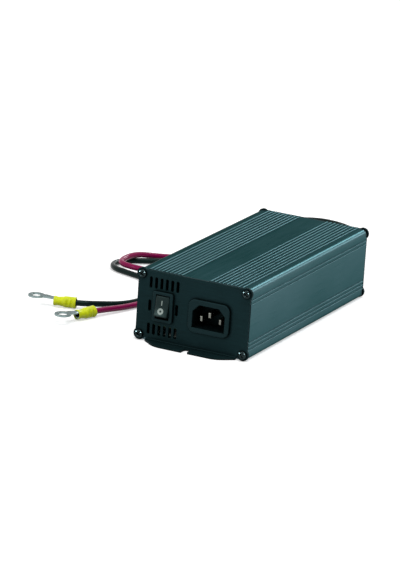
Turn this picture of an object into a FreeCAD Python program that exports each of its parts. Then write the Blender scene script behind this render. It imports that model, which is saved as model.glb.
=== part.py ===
# Car battery charger: ribbed aluminium housing, end plates, switch, inlet, fan, board and output leads.
import FreeCAD, Part

import math
import os

import Sketcher

V = FreeCAD.Vector

# Driving sizes in millimetres, angles in degrees. X runs across the front plate, Y from front to rear, Z up.
SIZES = {
    # Housing, one extruded tube
    "case_width": 84.0,
    "case_height": 50.0,
    "case_length": 185.0,
    "case_wall": 1.8,
    "case_round": 4.5,
    "floor_gap": 0.3,
    "rib_width": 1.5,
    "rib_rise": 0.6,
    "rib_pitch": 2.95,
    "rib_inner": 10.8,
    "rib_count": 9,
    "groove_width": 0.9,
    "groove_depth": 0.5,
    "groove_pitch": 2.7,
    "upper_groove_drop": 7.8,
    "lower_groove_height": 12.8,
    "rail_reach": 2.5,
    "rail_thick": 1.2,
    "boss_radius": 3.2,
    "boss_bore": 1.3,
    "boss_slit": 1.4,
    # End plates with their foot flanges
    "plate_thick": 1.5,
    "plate_inset": 0.3,
    "screw_inset": 3.2,
    "screw_drop": 3.9,
    "bend_radius": 0.8,
    "foot_side": 8.0,
    "foot_depth": 9.5,
    "foot_round": 14.0,
    "foot_taper": 10.5,
    "notch_width": 4.8,
    "notch_seat": 3.2,
    # Output capacitors, in a row beside the lead posts
    "can_to_post": 7.0,
    "can_pitch": 13.0,
    # Air slots of the front plate
    "slot_width": 2.2,
    "slot_height": 7.9,
    "slot_pitch": 4.02,
    "slot_count": 6,
    "slot_inset": 19.9,
    "slot_row": 16.2,
    # Plate screws
    "screw_head": 3.05,
    "screw_head_thick": 1.9,
    "screw_shank": 1.25,
    "screw_long": 9.0,
    "screw_clearance": 1.65,
    # Mains inlet
    "inlet_inset": 29.1,
    "inlet_sink": 0.4,
    "inlet_flange_width": 30.4,
    "inlet_flange_height": 23.0,
    "inlet_flange_round": 5.0,
    "inlet_flange_thick": 2.2,
    "recess_width": 24.2,
    "recess_height": 16.3,
    "recess_chamfer": 4.8,
    "recess_deep": 15.5,
    "inlet_wall": 1.5,
    "inlet_floor": 2.0,
    "blade_width": 2.0,
    "blade_height": 4.0,
    "blade_reach": 12.0,
    "blade_earth_lead": 2.0,
    "blade_spread": 7.0,
    "blade_earth_rise": 4.0,
    "tab_thick": 0.8,
    "tab_reach": 8.5,
    # Rocker switch
    "switch_inset": 20.2,
    "switch_lift": 0.7,
    "bezel_width": 15.0,
    "bezel_height": 21.0,
    "bezel_thick": 2.0,
    "bezel_round": 1.5,
    "switch_width": 12.8,
    "switch_height": 19.0,
    "switch_deep": 13.0,
    "switch_floor": 2.0,
    "well_width": 10.4,
    "well_height": 17.0,
    "rocker_width": 9.8,
    "rocker_sweep": 8.3,
    "rocker_half": 7.0,
    "rocker_crest": 4.9,
    "rocker_dip": 4.1,
    "rocker_back": 2.4,
    "rocker_tilt": 12.0,
    "hinge_depth": 3.0,
    "pivot_radius": 1.2,
    "pivot_wall": 0.45,
    "running_gap": 0.05,
    "plunger_radius": 1.1,
    "plunger_reach": 6.5,
    "contact_half": 6.0,
    "contact_width": 4.0,
    "contact_thick": 0.8,
    "contact_tilt": 4.0,
    "plunger_gap": 0.3,
    "contact_gap": 0.05,
    "contact_spread": 5.0,
    "switch_tab_width": 4.8,
    # Fan
    "fan_side": 5.5,
    "fan_margin": 5.0,
    "fan_thick": 10.0,
    "fan_wall": 1.1,
    "fan_round": 3.0,
    "fan_screw_inset": 4.0,
    "fan_screw_hole": 1.55,
    "hub_radius": 8.5,
    "rotor_gap": 0.7,
    "rotor_hub": 8.0,
    "rotor_thick": 7.0,
    "rotor_lift": 2.2,
    "shaft_radius": 1.0,
    "blade_count": 7,
    "blade_thick": 0.9,
    "blade_pitch": 38.0,
    "grille_inner": 9.6,
    "grille_margin": 2.4,
    "grille_slot": 2.4,
    "grille_count": 16,
    # Output leads and their bushes
    "lead_diameter": 4.2,
    "lead_clear": 7.5,
    "lead_pitch": 12.5,
    "lead_drop": 10.8,
    "bush_flange": 5.2,
    "bush_flange_thick": 1.5,
    "bush_neck": 4.0,
    "bush_tail": 7.0,
    "bush_tip": 2.9,
    # Ring terminals
    "sleeve_rear": 4.1,
    "sleeve_front": 3.5,
    "sleeve_long": 16.2,
    "sleeve_shoulder": 8.5,
    "barrel_radius": 3.0,
    "barrel_start": 8.0,
    "barrel_end": 19.0,
    "tongue_thick": 1.2,
    "tongue_width": 5.6,
    "ring_radius": 5.8,
    "ring_bore": 3.2,
    "ring_reach": 28.7,
    "crimp_depth": 10.0,
    # Circuit board and the parts on it
    "board_thick": 1.6,
    "board_up": 9.3,
    "board_front_gap": 6.5,
    "board_rear_gap": 14.5,
    "board_gap": 0.1,
    "board_edge": 0.3,
    "sheet_thick": 0.4,
    "sheet_side": 8.0,
    "sheet_end": 12.5,
    "seat_gap": 0.05,
    "wire_radius": 1.0,
}


class Size:
    """A length of the model: its value now, and the sheet expression that gives it."""

    def __init__(self, value, text):
        self.value = float(value)
        self.text = text

    def __add__(self, other):
        other = as_size(other)
        return Size(self.value + other.value, f"({self.text} + {other.text})")

    def __sub__(self, other):
        other = as_size(other)
        return Size(self.value - other.value, f"({self.text} - {other.text})")

    def __mul__(self, other):
        other = as_size(other)
        return Size(self.value * other.value, f"({self.text} * {other.text})")

    def __truediv__(self, other):
        other = as_size(other)
        return Size(self.value / other.value, f"({self.text} / {other.text})")

    def __neg__(self):
        return Size(-self.value, f"(0 - {self.text})")

    __radd__ = __add__
    __rmul__ = __mul__

    def __rsub__(self, other):
        return as_size(other) - self


def as_size(number):
    """A plain number as a Size; a Size stays as it is."""
    return number if isinstance(number, Size) else Size(number, repr(float(number)))


def root(size):
    """Square root of a size."""
    return Size(math.sqrt(size.value), f"sqrt({size.text})")


class Sheet:
    """The spreadsheet of driving sizes, read by attribute."""

    def __init__(self, doc, sizes):
        self.cells = doc.addObject("Spreadsheet::Sheet", "Sizes")
        for row, (alias, value) in enumerate(sizes.items(), start=1):
            self.cells.set(f"A{row}", alias)
            self.cells.set(f"B{row}", repr(value))
            self.cells.setAlias(f"B{row}", alias)
        doc.recompute()

    def __getattr__(self, alias):
        return Size(self.cells.get(alias), f"Sizes.{alias}")


doc = FreeCAD.newDocument("battery_charger")
s = Sheet(doc, SIZES)
nodes = {}

# Each plane: its origin feature's role, and the sign of its normal along the world axis
PLANES = {"XY": ("XY_Plane", 1), "XZ": ("XZ_Plane", -1), "YZ": ("YZ_Plane", 1)}


def keep(name, item):
    """Enter an object as one sub-part of the charger."""
    item.Label = name
    nodes[name] = item
    return item


def bind(item, **sizes):
    """Tie properties of an object to the sheet, a double underscore standing for a dot."""
    for prop, size in sizes.items():
        item.setExpression(prop.replace("__", "."), as_size(size).text)


def move(item, x, y, z):
    """Tie an object's place to the sheet."""
    item.setExpression("Placement.Base.x", as_size(x).text)
    item.setExpression("Placement.Base.y", as_size(y).text)
    item.setExpression("Placement.Base.z", as_size(z).text)
    return item


# Sketches

def rectangle(low_u, high_u, low_v, high_v, r=None):
    """Corners of a rectangle, each rounded by r where it is given."""
    return [(low_u, low_v, r), (high_u, low_v, r), (high_u, high_v, r), (low_u, high_v, r)]


def centred(u, v, width, height, r=None):
    """Corners of a rectangle about a centre."""
    u, v = as_size(u), as_size(v)
    return rectangle(u - width / 2, u + width / 2, v - height / 2, v + height / 2, r)


def slot(u, v, width, height):
    """Corners of an upright slot with round ends."""
    return centred(u, v, width, height, width / 2)


class Drawing:
    """One sketch on an origin plane, each point of its outlines tied to the sheet."""

    def __init__(self, body, plane, level):
        role, sign = PLANES[plane]
        self.sketch = body.newObject("Sketcher::SketchObject", f"{body.Name}_sketch")
        origin = next(f for f in body.Origin.OriginFeatures if f.Role == role)
        self.sketch.AttachmentSupport = [(origin, "")]
        self.sketch.MapMode = "FlatFace"
        self.sketch.setExpression("AttachmentOffset.Base.z", (as_size(level) * sign).text)
        self.count = 0

    def pin(self, geometry, point, u, v):
        """Hold one point of the sketch at (u, v)."""
        for kind, size in (("DistanceX", u), ("DistanceY", v)):
            name = f"p{self.count}"
            self.count += 1
            size = as_size(size)
            number = self.sketch.addConstraint(
                Sketcher.Constraint(kind, -1, 1, geometry, point, size.value))
            self.sketch.renameConstraint(number, name)
            self.sketch.setExpression(f"Constraints.{name}", size.text)

    def radius(self, geometry, size):
        """Hold the radius of an arc or circle."""
        size = as_size(size)
        name = f"p{self.count}"
        self.count += 1
        number = self.sketch.addConstraint(Sketcher.Constraint("Radius", geometry, size.value))
        self.sketch.renameConstraint(number, name)
        self.sketch.setExpression(f"Constraints.{name}", size.text)

    def circle(self, u, v, r):
        """A full circle."""
        centre = V(as_size(u).value, as_size(v).value, 0)
        number = self.sketch.addGeometry(Part.Circle(centre, V(0, 0, 1), as_size(r).value), False)
        self.pin(number, 3, u, v)
        self.radius(number, r)
        return self

    def outline(self, corners):
        """A closed outline of lines along the axes or aslant, whose square corners may be rounded."""
        points = [(as_size(c[0]), as_size(c[1])) for c in corners]
        flat = [V(u.value, v.value, 0) for u, v in points]
        total = len(points)
        ends = []
        arcs = []
        for i, corner in enumerate(corners):
            r = corner[2] if len(corner) > 2 else None
            if r is None:
                ends.append((points[i], points[i]))
                arcs.append(None)
                continue
            before = (flat[i] - flat[i - 1]).normalize()
            after = (flat[(i + 1) % total] - flat[i]).normalize()
            u, v = points[i]
            start = (u - r * round(before.x), v - r * round(before.y))
            stop = (u + r * round(after.x), v + r * round(after.y))
            ends.append((start, stop))
            arcs.append((r, before, after))
        pieces = []
        for i in range(total):
            if arcs[i]:
                pieces.append(self.corner_arc(flat[i], *arcs[i]) + ends[i])
            leave, reach = ends[i][1], ends[(i + 1) % total][0]
            a = V(leave[0].value, leave[1].value, 0)
            b = V(reach[0].value, reach[1].value, 0)
            if (b - a).Length > 1e-6:
                number = self.sketch.addGeometry(Part.LineSegment(a, b), False)
                pieces.append((number, 1, 2, leave, reach))
        for i, (number, start, stop, _, reach) in enumerate(pieces):
            following = pieces[(i + 1) % len(pieces)]
            self.sketch.addConstraint(
                Sketcher.Constraint("Coincident", number, stop, following[0], following[1]))
            self.pin(number, stop, *reach)
        return self

    def corner_arc(self, corner, r, before, after):
        """The arc that rounds one square corner: its number and its first and last point."""
        start = corner - before * r.value
        stop = corner + after * r.value
        centre = start + after * r.value
        turns_left = before.x * after.y - before.y * after.x > 0
        first, last = (start, stop) if turns_left else (stop, start)
        angles = [math.atan2((p - centre).y, (p - centre).x) for p in (first, last)]
        circle = Part.Circle(centre, V(0, 0, 1), r.value)
        number = self.sketch.addGeometry(Part.ArcOfCircle(circle, angles[0], angles[1]), False)
        self.radius(number, r)
        return (number, 1, 2) if turns_left else (number, 2, 1)


class Solid:
    """A PartDesign body, built feature by feature."""

    def __init__(self, name):
        self.body = doc.addObject("PartDesign::Body", name)
        self.volume = 0.0

    def drawing(self, plane, level):
        """A sketch at one level of a plane."""
        return Drawing(self.body, plane, level)

    def grow(self, plane, low, high, *outlines):
        """Pad outlines from low to high along the plane's world axis."""
        low, high = as_size(low), as_size(high)
        drawing = self.drawing(plane, high if plane == "XZ" else low)
        for corners in outlines:
            drawing.outline(corners)
        return self.pad(drawing, high - low)

    def pad(self, drawing, length):
        """Pad a finished drawing."""
        feature = self.body.newObject("PartDesign::Pad", f"{self.body.Name}_pad")
        feature.Profile = drawing.sketch
        bind(feature, Length=length)
        return self.finish(feature, drawing, 1)

    def carve(self, plane, low, high, *outlines):
        """Pocket outlines between low and high along the plane's world axis."""
        low, high = as_size(low), as_size(high)
        drawing = self.drawing(plane, low if plane == "XZ" else high)
        for corners in outlines:
            drawing.outline(corners)
        return self.pocket(drawing, high - low)

    def pocket(self, drawing, length):
        """Pocket a finished drawing."""
        feature = self.body.newObject("PartDesign::Pocket", f"{self.body.Name}_pocket")
        feature.Profile = drawing.sketch
        bind(feature, Length=length)
        return self.finish(feature, drawing, -1)

    def finish(self, feature, drawing, sign):
        """Recompute, and test that the feature added or took away material."""
        if drawing:
            drawing.sketch.Visibility = False
        doc.recompute()
        volume = feature.Shape.Volume
        if (volume - self.volume) * sign <= 0:
            raise RuntimeError(f"{feature.Name} changed the volume from {self.volume} to {volume}")
        self.volume = volume
        return feature

    def repeat(self, feature, drawing, axis, length, count):
        """Repeat a feature in a row along a sketch axis."""
        row = self.body.newObject("PartDesign::LinearPattern", f"{self.body.Name}_row")
        row.Originals = [feature]
        row.Direction = (drawing.sketch, [axis])
        bind(row, Length=length, Occurrences=count)
        self.body.Tip = row
        return self.finish(row, None, 1 if feature.TypeId == "PartDesign::Pad" else -1)

    def turn_round(self, feature, axis_role, count):
        """Repeat a feature round one of the body's own axes."""
        ring = self.body.newObject("PartDesign::PolarPattern", f"{self.body.Name}_ring")
        ring.Originals = [feature]
        ring.Axis = (next(f for f in self.body.Origin.OriginFeatures if f.Role == axis_role), [""])
        bind(ring, Occurrences=count)
        ring.Angle = 360
        self.body.Tip = ring
        return self.finish(ring, None, 1 if feature.TypeId == "PartDesign::Pad" else -1)

    def round_edges(self, radius, test):
        """Fillet the edges that a test picks."""
        base = self.body.Tip
        names = [f"Edge{i}" for i, edge in enumerate(base.Shape.Edges, start=1) if test(edge)]
        if not names:
            raise RuntimeError(f"{self.body.Name} has no such edge")
        feature = self.body.newObject("PartDesign::Fillet", f"{self.body.Name}_fillet")
        feature.Base = (base, names)
        bind(feature, Radius=radius)
        doc.recompute()
        self.volume = feature.Shape.Volume
        return feature

    def done(self, name):
        """Enter the body as a sub-part."""
        return keep(name, self.body)


# Part primitives

def block(x, y, z):
    """A box between low and high in each direction."""
    item = doc.addObject("Part::Box", "block")
    spans = [(as_size(low), as_size(high)) for low, high in (x, y, z)]
    bind(item, Length=spans[0][1] - spans[0][0], Width=spans[1][1] - spans[1][0],
         Height=spans[2][1] - spans[2][0])
    return move(item, spans[0][0], spans[1][0], spans[2][0])


AXIS_TURNS = {
    "X": FreeCAD.Rotation(V(0, 1, 0), 90),
    "Y": FreeCAD.Rotation(V(1, 0, 0), -90),
    "Z": FreeCAD.Rotation(),
}


def rod(axis, x, y, z, radius, length):
    """A cylinder that runs from (x, y, z) along an axis."""
    item = doc.addObject("Part::Cylinder", "rod")
    item.Placement.Rotation = AXIS_TURNS[axis]
    bind(item, Radius=radius, Height=length)
    return move(item, x, y, z)


def taper(axis, x, y, z, first, last, length):
    """A cone that runs from (x, y, z) along an axis."""
    item = doc.addObject("Part::Cone", "taper")
    item.Placement.Rotation = AXIS_TURNS[axis]
    bind(item, Radius1=first, Radius2=last, Height=length)
    return move(item, x, y, z)


def fuse(*items):
    """One solid of several that touch."""
    item = doc.addObject("Part::MultiFuse", "fuse")
    item.Shapes = list(items)
    item.Refine = True
    return item


def group(*items):
    """Separate solids kept under one name."""
    item = doc.addObject("Part::Compound", "group")
    item.Links = list(items)
    return item


def cut(base, *tools):
    """A base with tools taken out."""
    item = doc.addObject("Part::Cut", "cut")
    item.Base = base
    item.Tool = tools[0] if len(tools) == 1 else group(*tools)
    return item


def tube(axis, x, y, z, outer, inner, length):
    """A hollow cylinder."""
    return cut(rod(axis, x, y, z, outer, length), rod(axis, x, y, z, inner, length))


# Places that several pieces share
base_z = s.floor_gap
top_z = s.floor_gap + s.case_height
skin_z = top_z - s.rib_rise
mid_z = s.floor_gap + s.case_height / 2
half_x = s.case_width / 2
inner_x = half_x - s.case_wall
case_end = s.case_length / 2
plate_out = case_end + s.plate_thick
board_z = s.floor_gap + s.board_up
board_top = board_z + s.board_thick
inner_top = skin_z - s.case_wall
slot_centre = s.slot_inset - half_x
inlet_across = half_x - s.inlet_inset
inlet_up = mid_z - s.inlet_sink
switch_across = s.switch_inset - half_x
switch_up = mid_z + s.switch_lift
fan_size = s.case_height - s.fan_margin * 2
fan_across = s.fan_side + fan_size / 2 - half_x
fan_bore = fan_size / 2 - s.fan_wall
fan_screw_spread = fan_size / 2 - s.fan_screw_inset
red_across = fan_across + fan_size / 2 + s.lead_clear
black_across = red_across + s.lead_pitch
lead_up = top_z - s.lead_drop
board_front = case_end - s.board_front_gap
board_rear = case_end - s.board_rear_gap
SIDES = (-1, 1)
CORNERS = [(x, z) for x in SIDES for z in SIDES]


def corner(x, z):
    """Centre of one plate screw."""
    return (half_x - s.screw_inset) * x, mid_z + (s.case_height / 2 - s.screw_drop) * z


# Housing

def housing_shell():
    """Extruded tube with ribs on top, grooves in its sides, screw bosses and board rails inside."""
    solid = Solid("housing_shell")
    solid.grow("XZ", -case_end, case_end,
               rectangle(-half_x, half_x, base_z, skin_z, s.case_round),
               rectangle(-inner_x, inner_x, base_z + s.case_wall, skin_z - s.case_wall,
                         s.case_round - s.case_wall))
    for side in SIDES:
        drawing = solid.drawing("XZ", case_end)
        first = s.rib_inner * side
        drawing.outline(centred(first, skin_z + s.rib_rise / 2 - s.rib_rise / 8, s.rib_width,
                                s.rib_rise + s.rib_rise / 4))
        rib = solid.pad(drawing, s.case_length)
        row = solid.repeat(rib, drawing, "H_Axis", s.rib_pitch * (s.rib_count - 1), s.rib_count)
        if side < 0:
            row.Reversed = True
            doc.recompute()
    heights = [s.case_height - s.upper_groove_drop - s.groove_pitch * i for i in range(2)]
    heights += [s.lower_groove_height - s.groove_pitch * i for i in range(3)]
    drawing = solid.drawing("XZ", -case_end)
    for side in SIDES:
        for height in heights:
            drawing.outline(centred(half_x * side, base_z + height, s.groove_depth * 2, s.groove_width))
    solid.pocket(drawing, s.case_length)
    rail_levels = (board_z - s.board_gap - s.rail_thick, board_top + s.board_gap)
    drawing = solid.drawing("XZ", case_end)
    for side in SIDES:
        edges = sorted((inner_x * side + 0.5 * side, (inner_x - s.rail_reach) * side),
                       key=lambda size: size.value)
        for low in rail_levels:
            drawing.outline(rectangle(edges[0], edges[1], low, low + s.rail_thick))
    solid.pad(drawing, s.case_length)
    drawing = solid.drawing("XZ", case_end)
    for x, z in CORNERS:
        drawing.circle(*corner(x, z), s.boss_radius)
    solid.pad(drawing, s.case_length)
    drawing = solid.drawing("XZ", -case_end)
    for x, z in CORNERS:
        drawing.circle(*corner(x, z), s.boss_bore)
    solid.pocket(drawing, s.case_length)
    drawing = solid.drawing("XZ", -case_end)
    for x, z in CORNERS:
        across, up = corner(x, z)
        spans = sorted((across, across - s.boss_radius * x * 1.2), key=lambda size: size.value)
        drawing.outline(rectangle(spans[0], spans[1], up - s.boss_slit / 2, up + s.boss_slit / 2))
    solid.pocket(drawing, s.case_length)
    solid.done("housing_shell")


def plate(name, side):
    """End plate with corner ears and a bent foot flange: side is -1 in front and 1 behind."""
    solid = Solid(name)
    edge_x = half_x - s.plate_inset
    ear_radius = s.floor_gap + s.screw_drop
    foot_half = half_x - s.foot_side
    spans = sorted((case_end * side, plate_out * side), key=lambda size: size.value)
    solid.grow("XZ", spans[0], spans[1],
               rectangle(-edge_x, edge_x, s.plate_thick + s.bend_radius, skin_z))
    drawing = solid.drawing("XZ", spans[1])
    for x, z in CORNERS:
        drawing.circle(*corner(x, z), ear_radius)
    solid.pad(drawing, s.plate_thick)
    foot_front = foot_half - s.foot_taper
    foot_rim = plate_out + s.foot_depth
    fold = plate_out + s.bend_radius
    solid.grow("YZ", -foot_half, foot_half,
               [(fold * side, 0), (case_end * side, 0, s.bend_radius + s.plate_thick),
                (case_end * side, s.plate_thick * 3), (plate_out * side, s.plate_thick * 3),
                (plate_out * side, s.plate_thick, s.bend_radius), (fold * side, s.plate_thick)])
    solid.grow("XY", 0, s.plate_thick,
               [(-foot_half, fold * side), (foot_half, fold * side),
                (foot_front, foot_rim * side), (-foot_front, foot_rim * side)])
    solid.round_edges(s.foot_round, lambda edge: (
        edge.BoundBox.XLength < 1e-4 and edge.BoundBox.ZLength > 1e-4
        and abs(abs(edge.BoundBox.Center.x) - foot_front.value) < 1e-4
        and abs(abs(edge.BoundBox.Center.y) - foot_rim.value) < 1e-4))
    seat = (plate_out + s.notch_seat) * side
    mouth = (foot_rim + s.plate_thick) * side
    low, high = sorted((seat, mouth), key=lambda size: size.value)
    half = s.notch_width / 2
    if side < 0:
        notch = [(-half, low), (half, low), (half, high, half), (-half, high, half)]
    else:
        notch = [(-half, low, half), (half, low, half), (half, high), (-half, high)]
    solid.carve("XY", 0, s.plate_thick, notch)
    drawing = solid.drawing("XZ", spans[0])
    for x, z in CORNERS:
        drawing.circle(*corner(x, z), s.screw_clearance)
    solid.pocket(drawing, s.plate_thick)
    return solid, spans


def front_plate():
    """Front plate with the switch and inlet cut-outs and the air slots round the switch."""
    solid, spans = plate("front_plate", -1)
    solid.carve("XZ", spans[0], spans[1],
                centred(switch_across, switch_up, s.switch_width + s.running_gap * 2,
                        s.switch_height + s.running_gap * 2),
                centred(inlet_across, inlet_up, inlet_body_width + s.running_gap * 2,
                        inlet_body_height + s.running_gap * 2))
    first = slot_centre - s.slot_pitch * (s.slot_count - 1) / 2
    last = slot_centre + s.slot_pitch * (s.slot_count - 1) / 2
    drawing = solid.drawing("XZ", spans[0])
    for row in SIDES:
        drawing.outline(slot(first, mid_z + s.slot_row * row, s.slot_width, s.slot_height))
    column = solid.pocket(drawing, s.plate_thick)
    solid.repeat(column, drawing, "H_Axis", s.slot_pitch * (s.slot_count - 1), s.slot_count)
    solid.carve("XZ", spans[0], spans[1],
                slot(first, mid_z, s.slot_width, s.slot_height),
                slot(last, mid_z, s.slot_width, s.slot_height))
    solid.done("front_plate")


def rear_plate():
    """Rear plate with the fan grille and the holes of the leads, the fan screws and the lamp."""
    solid, spans = plate("rear_plate", 1)
    drawing = solid.drawing("XZ", spans[0])
    for across in (red_across, black_across):
        drawing.circle(across, lead_up, s.bush_neck + s.running_gap)
    drawing.circle(lamp_across, lamp_up, lamp_radius + s.running_gap)
    for x, z in CORNERS:
        drawing.circle(fan_across + fan_screw_spread * x, mid_z + fan_screw_spread * z,
                       s.screw_clearance)
    solid.pocket(drawing, s.plate_thick)
    outer = fan_size / 2 - s.grille_margin
    middle = (s.grille_inner + outer) / 2
    reach = outer - s.grille_inner
    for k in range(int(s.grille_count.value)):
        angle = 2 * math.pi * (k + 0.5) / s.grille_count.value
        drawing = solid.drawing("XZ", spans[0])
        turned = FreeCAD.Rotation(V(0, 0, 1), math.degrees(angle))
        drawing.sketch.AttachmentOffset = FreeCAD.Placement(V(), turned)
        drawing.sketch.setExpression("AttachmentOffset.Base.x", fan_across.text)
        drawing.sketch.setExpression("AttachmentOffset.Base.y", mid_z.text)
        drawing.outline(centred(middle, 0, reach, s.grille_slot, s.grille_slot * 0.45))
        solid.pocket(drawing, s.plate_thick)
    solid.done("rear_plate")


def plate_screw(x, z, seat, side, head, shank, length):
    """Pan-head screw with a cross recess: its head stands out of the seat towards side."""
    thick = s.screw_head_thick
    rim = thick * 0.5
    axis_start = seat if side > 0 else seat - thick
    parts = []
    if side > 0:
        parts.append(rod("Y", x, seat, z, head, rim))
        parts.append(taper("Y", x, seat + rim, z, head, head * 0.66, thick - rim))
        parts.append(rod("Y", x, seat - length, z, shank, length))
    else:
        parts.append(rod("Y", x, seat - rim, z, head, rim))
        parts.append(taper("Y", x, seat - thick, z, head * 0.66, head, thick - rim))
        parts.append(rod("Y", x, seat, z, shank, length))
    deep = thick * 0.6
    recess = (axis_start + thick - deep, axis_start + thick) if side > 0 else (axis_start, axis_start + deep)
    arm, web = head * 0.55, head * 0.13
    bars = [block((x - arm, x + arm), recess, (z - web, z + web)),
            block((x - web, x + web), recess, (z - arm, z + arm))]
    return cut(fuse(*parts), fuse(*bars))


def screws():
    """The eight plate screws and the four fan screws."""
    for name, side in (("front_plate_screws", -1), ("rear_plate_screws", 1)):
        keep(name, group(*[
            plate_screw(*corner(x, z), plate_out * side, side, s.screw_head, s.screw_shank, s.screw_long)
            for x, z in CORNERS]))
    keep("fan_screws", group(*[
        plate_screw(fan_across + fan_screw_spread * x, mid_z + fan_screw_spread * z, plate_out, 1,
                    s.screw_head - 0.25, s.fan_screw_hole - s.running_gap, s.fan_thick * 0.8)
        for x, z in CORNERS]))


# Mains inlet
inlet_body_width = s.recess_width + s.inlet_wall * 2
inlet_body_height = s.recess_height + s.inlet_wall * 2
inlet_face = -(plate_out + s.inlet_flange_thick)
inlet_back = inlet_face + s.recess_deep + s.inlet_floor
BLADES = ((-1, 0), (1, 0), (0, 1))


def blade_place(x, z):
    """Centre of one contact blade of the inlet."""
    return (inlet_across + s.blade_spread * x,
            inlet_up - s.blade_earth_rise / 2 + s.blade_earth_rise * z)


def inlet():
    """Inlet moulding with its recess, and its three contact blades."""
    solid = Solid("inlet_body")
    solid.grow("XZ", inlet_face, -plate_out,
               centred(inlet_across, inlet_up, s.inlet_flange_width, s.inlet_flange_height,
                       s.inlet_flange_round))
    solid.grow("XZ", -plate_out, inlet_back,
               centred(inlet_across, inlet_up, inlet_body_width, inlet_body_height))
    half_w, half_h = s.recess_width / 2, s.recess_height / 2
    left, right = inlet_across - half_w, inlet_across + half_w
    low, high = inlet_up - half_h, inlet_up + half_h
    cham = s.recess_chamfer
    solid.carve("XZ", inlet_face, inlet_face + s.recess_deep,
                [(left, low), (right, low), (right, high - cham), (right - cham, high),
                 (left + cham, high), (left, high - cham)])
    solid.carve("XZ", inlet_face + s.recess_deep, inlet_back,
                *[centred(*blade_place(x, z), s.tab_thick + s.running_gap * 2,
                          s.blade_height + s.running_gap * 2) for x, z in BLADES])
    solid.round_edges(s.inlet_flange_thick * 0.3, lambda edge: (
        abs(edge.BoundBox.YMax - inlet_face.value) < 1e-4
        and (abs(edge.BoundBox.Center.x - inlet_across.value) > half_w.value + 0.3
             or abs(edge.BoundBox.Center.z - inlet_up.value) > half_h.value + 0.4)))
    solid.done("inlet_body")
    floor = inlet_face + s.recess_deep
    pins = []
    for x, z in BLADES:
        across, up = blade_place(x, z)
        solid = Solid("inlet_blade")
        reach = s.blade_reach + s.blade_earth_lead * z
        solid.grow("XZ", floor - reach, floor, centred(across, up, s.blade_width, s.blade_height))
        tip = (floor - reach).value
        solid.round_edges(s.blade_width * 0.35, lambda edge: abs(edge.BoundBox.YMax - tip) < 1e-4)
        solid.grow("XZ", floor, inlet_back + s.tab_reach, centred(across, up, s.tab_thick, s.blade_height))
        pins.append(solid.body)
    keep("inlet_blades", group(*pins))


# Rocker switch
bezel_face = -(plate_out + s.bezel_thick)
hinge_y = bezel_face + s.hinge_depth
well_floor = bezel_face + s.bezel_thick + s.switch_deep - s.switch_floor
switch_back = well_floor + s.switch_floor


def switch_body():
    """Switch frame: bezel, rectangular body, the well of the rocker and the slots of its tabs."""
    solid = Solid("switch_body")
    solid.grow("XZ", bezel_face, -plate_out,
               centred(switch_across, switch_up, s.bezel_width, s.bezel_height, s.bezel_round))
    solid.grow("XZ", -plate_out, switch_back,
               centred(switch_across, switch_up, s.switch_width, s.switch_height))
    solid.carve("XZ", bezel_face, well_floor,
                centred(switch_across, switch_up, s.well_width, s.well_height))
    solid.carve("XZ", well_floor, switch_back,
                *[centred(switch_across, switch_up - s.contact_spread * k,
                          s.switch_tab_width + s.running_gap * 2, s.tab_thick + s.running_gap * 2)
                  for k in (0, 1)])
    reach = s.switch_width / 2 - s.pivot_wall
    drawing = solid.drawing("YZ", switch_across + reach)
    drawing.circle(hinge_y, switch_up, s.pivot_radius + s.running_gap)
    solid.pocket(drawing, reach * 2)
    face = bezel_face.value
    solid.round_edges(s.bezel_thick * 0.3, lambda edge: (
        abs(edge.BoundBox.YMin - face) < 1e-4 and abs(edge.BoundBox.YMax - face) < 1e-4
        and (abs(edge.BoundBox.Center.x - switch_across.value) > s.well_width.value / 2 + 0.5
             or abs(edge.BoundBox.Center.z - switch_up.value) > s.well_height.value / 2 + 0.5)))
    solid.done("switch_body")


def rock(body):
    """Set a body on the rocker's hinge, tilted to the ON rest."""
    body.Placement.Rotation = FreeCAD.Rotation(V(-1, 0, 0), s.rocker_tilt.value)
    body.setExpression("Placement.Rotation.Angle", s.rocker_tilt.text)
    move(body, switch_across, hinge_y, switch_up)


def switch_rocker():
    """Rocker with a dipped face, round ends and two stub pivots, tilted to its ON rest."""
    solid = Solid("switch_rocker")
    half = s.rocker_width / 2
    drawing = solid.drawing("YZ", -half)
    crest, dip, back, tall = s.rocker_crest, s.rocker_dip, s.rocker_back, s.rocker_half
    foot = root(s.rocker_sweep * s.rocker_sweep - back * back)
    drawing.outline([(-crest, -tall), (back, -foot), (back, foot), (-crest, tall), (-dip, 0)])
    solid.pad(drawing, s.rocker_width)
    solid.round_edges(s.rocker_width * 0.07, lambda edge: (
        abs(edge.BoundBox.YMax + crest.value) < 1e-4 and abs(edge.BoundBox.YMin + crest.value) < 1e-4))
    stub = s.switch_width / 2 - s.pivot_wall - s.running_gap
    drawing = solid.drawing("YZ", -stub)
    drawing.circle(0, 0, s.pivot_radius)
    solid.pad(drawing, stub * 2)
    drawing = solid.drawing("XZ", 0)
    drawing.circle(0, 0, s.plunger_radius + s.seat_gap)
    solid.pocket(drawing, s.rocker_back)
    rock(solid.body)
    solid.done("switch_rocker")


def switch_plunger():
    """Sprung plunger in the rocker's bore, which tips the contact lever."""
    solid = Solid("switch_plunger")
    drawing = solid.drawing("XZ", s.plunger_reach)
    drawing.circle(0, 0, s.plunger_radius)
    solid.pad(drawing, s.plunger_reach - s.seat_gap)
    solid.round_edges(s.plunger_radius * 0.6,
                      lambda edge: edge.BoundBox.YMin > s.plunger_reach.value - 0.01)
    rock(solid.body)
    solid.done("switch_plunger")


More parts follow.
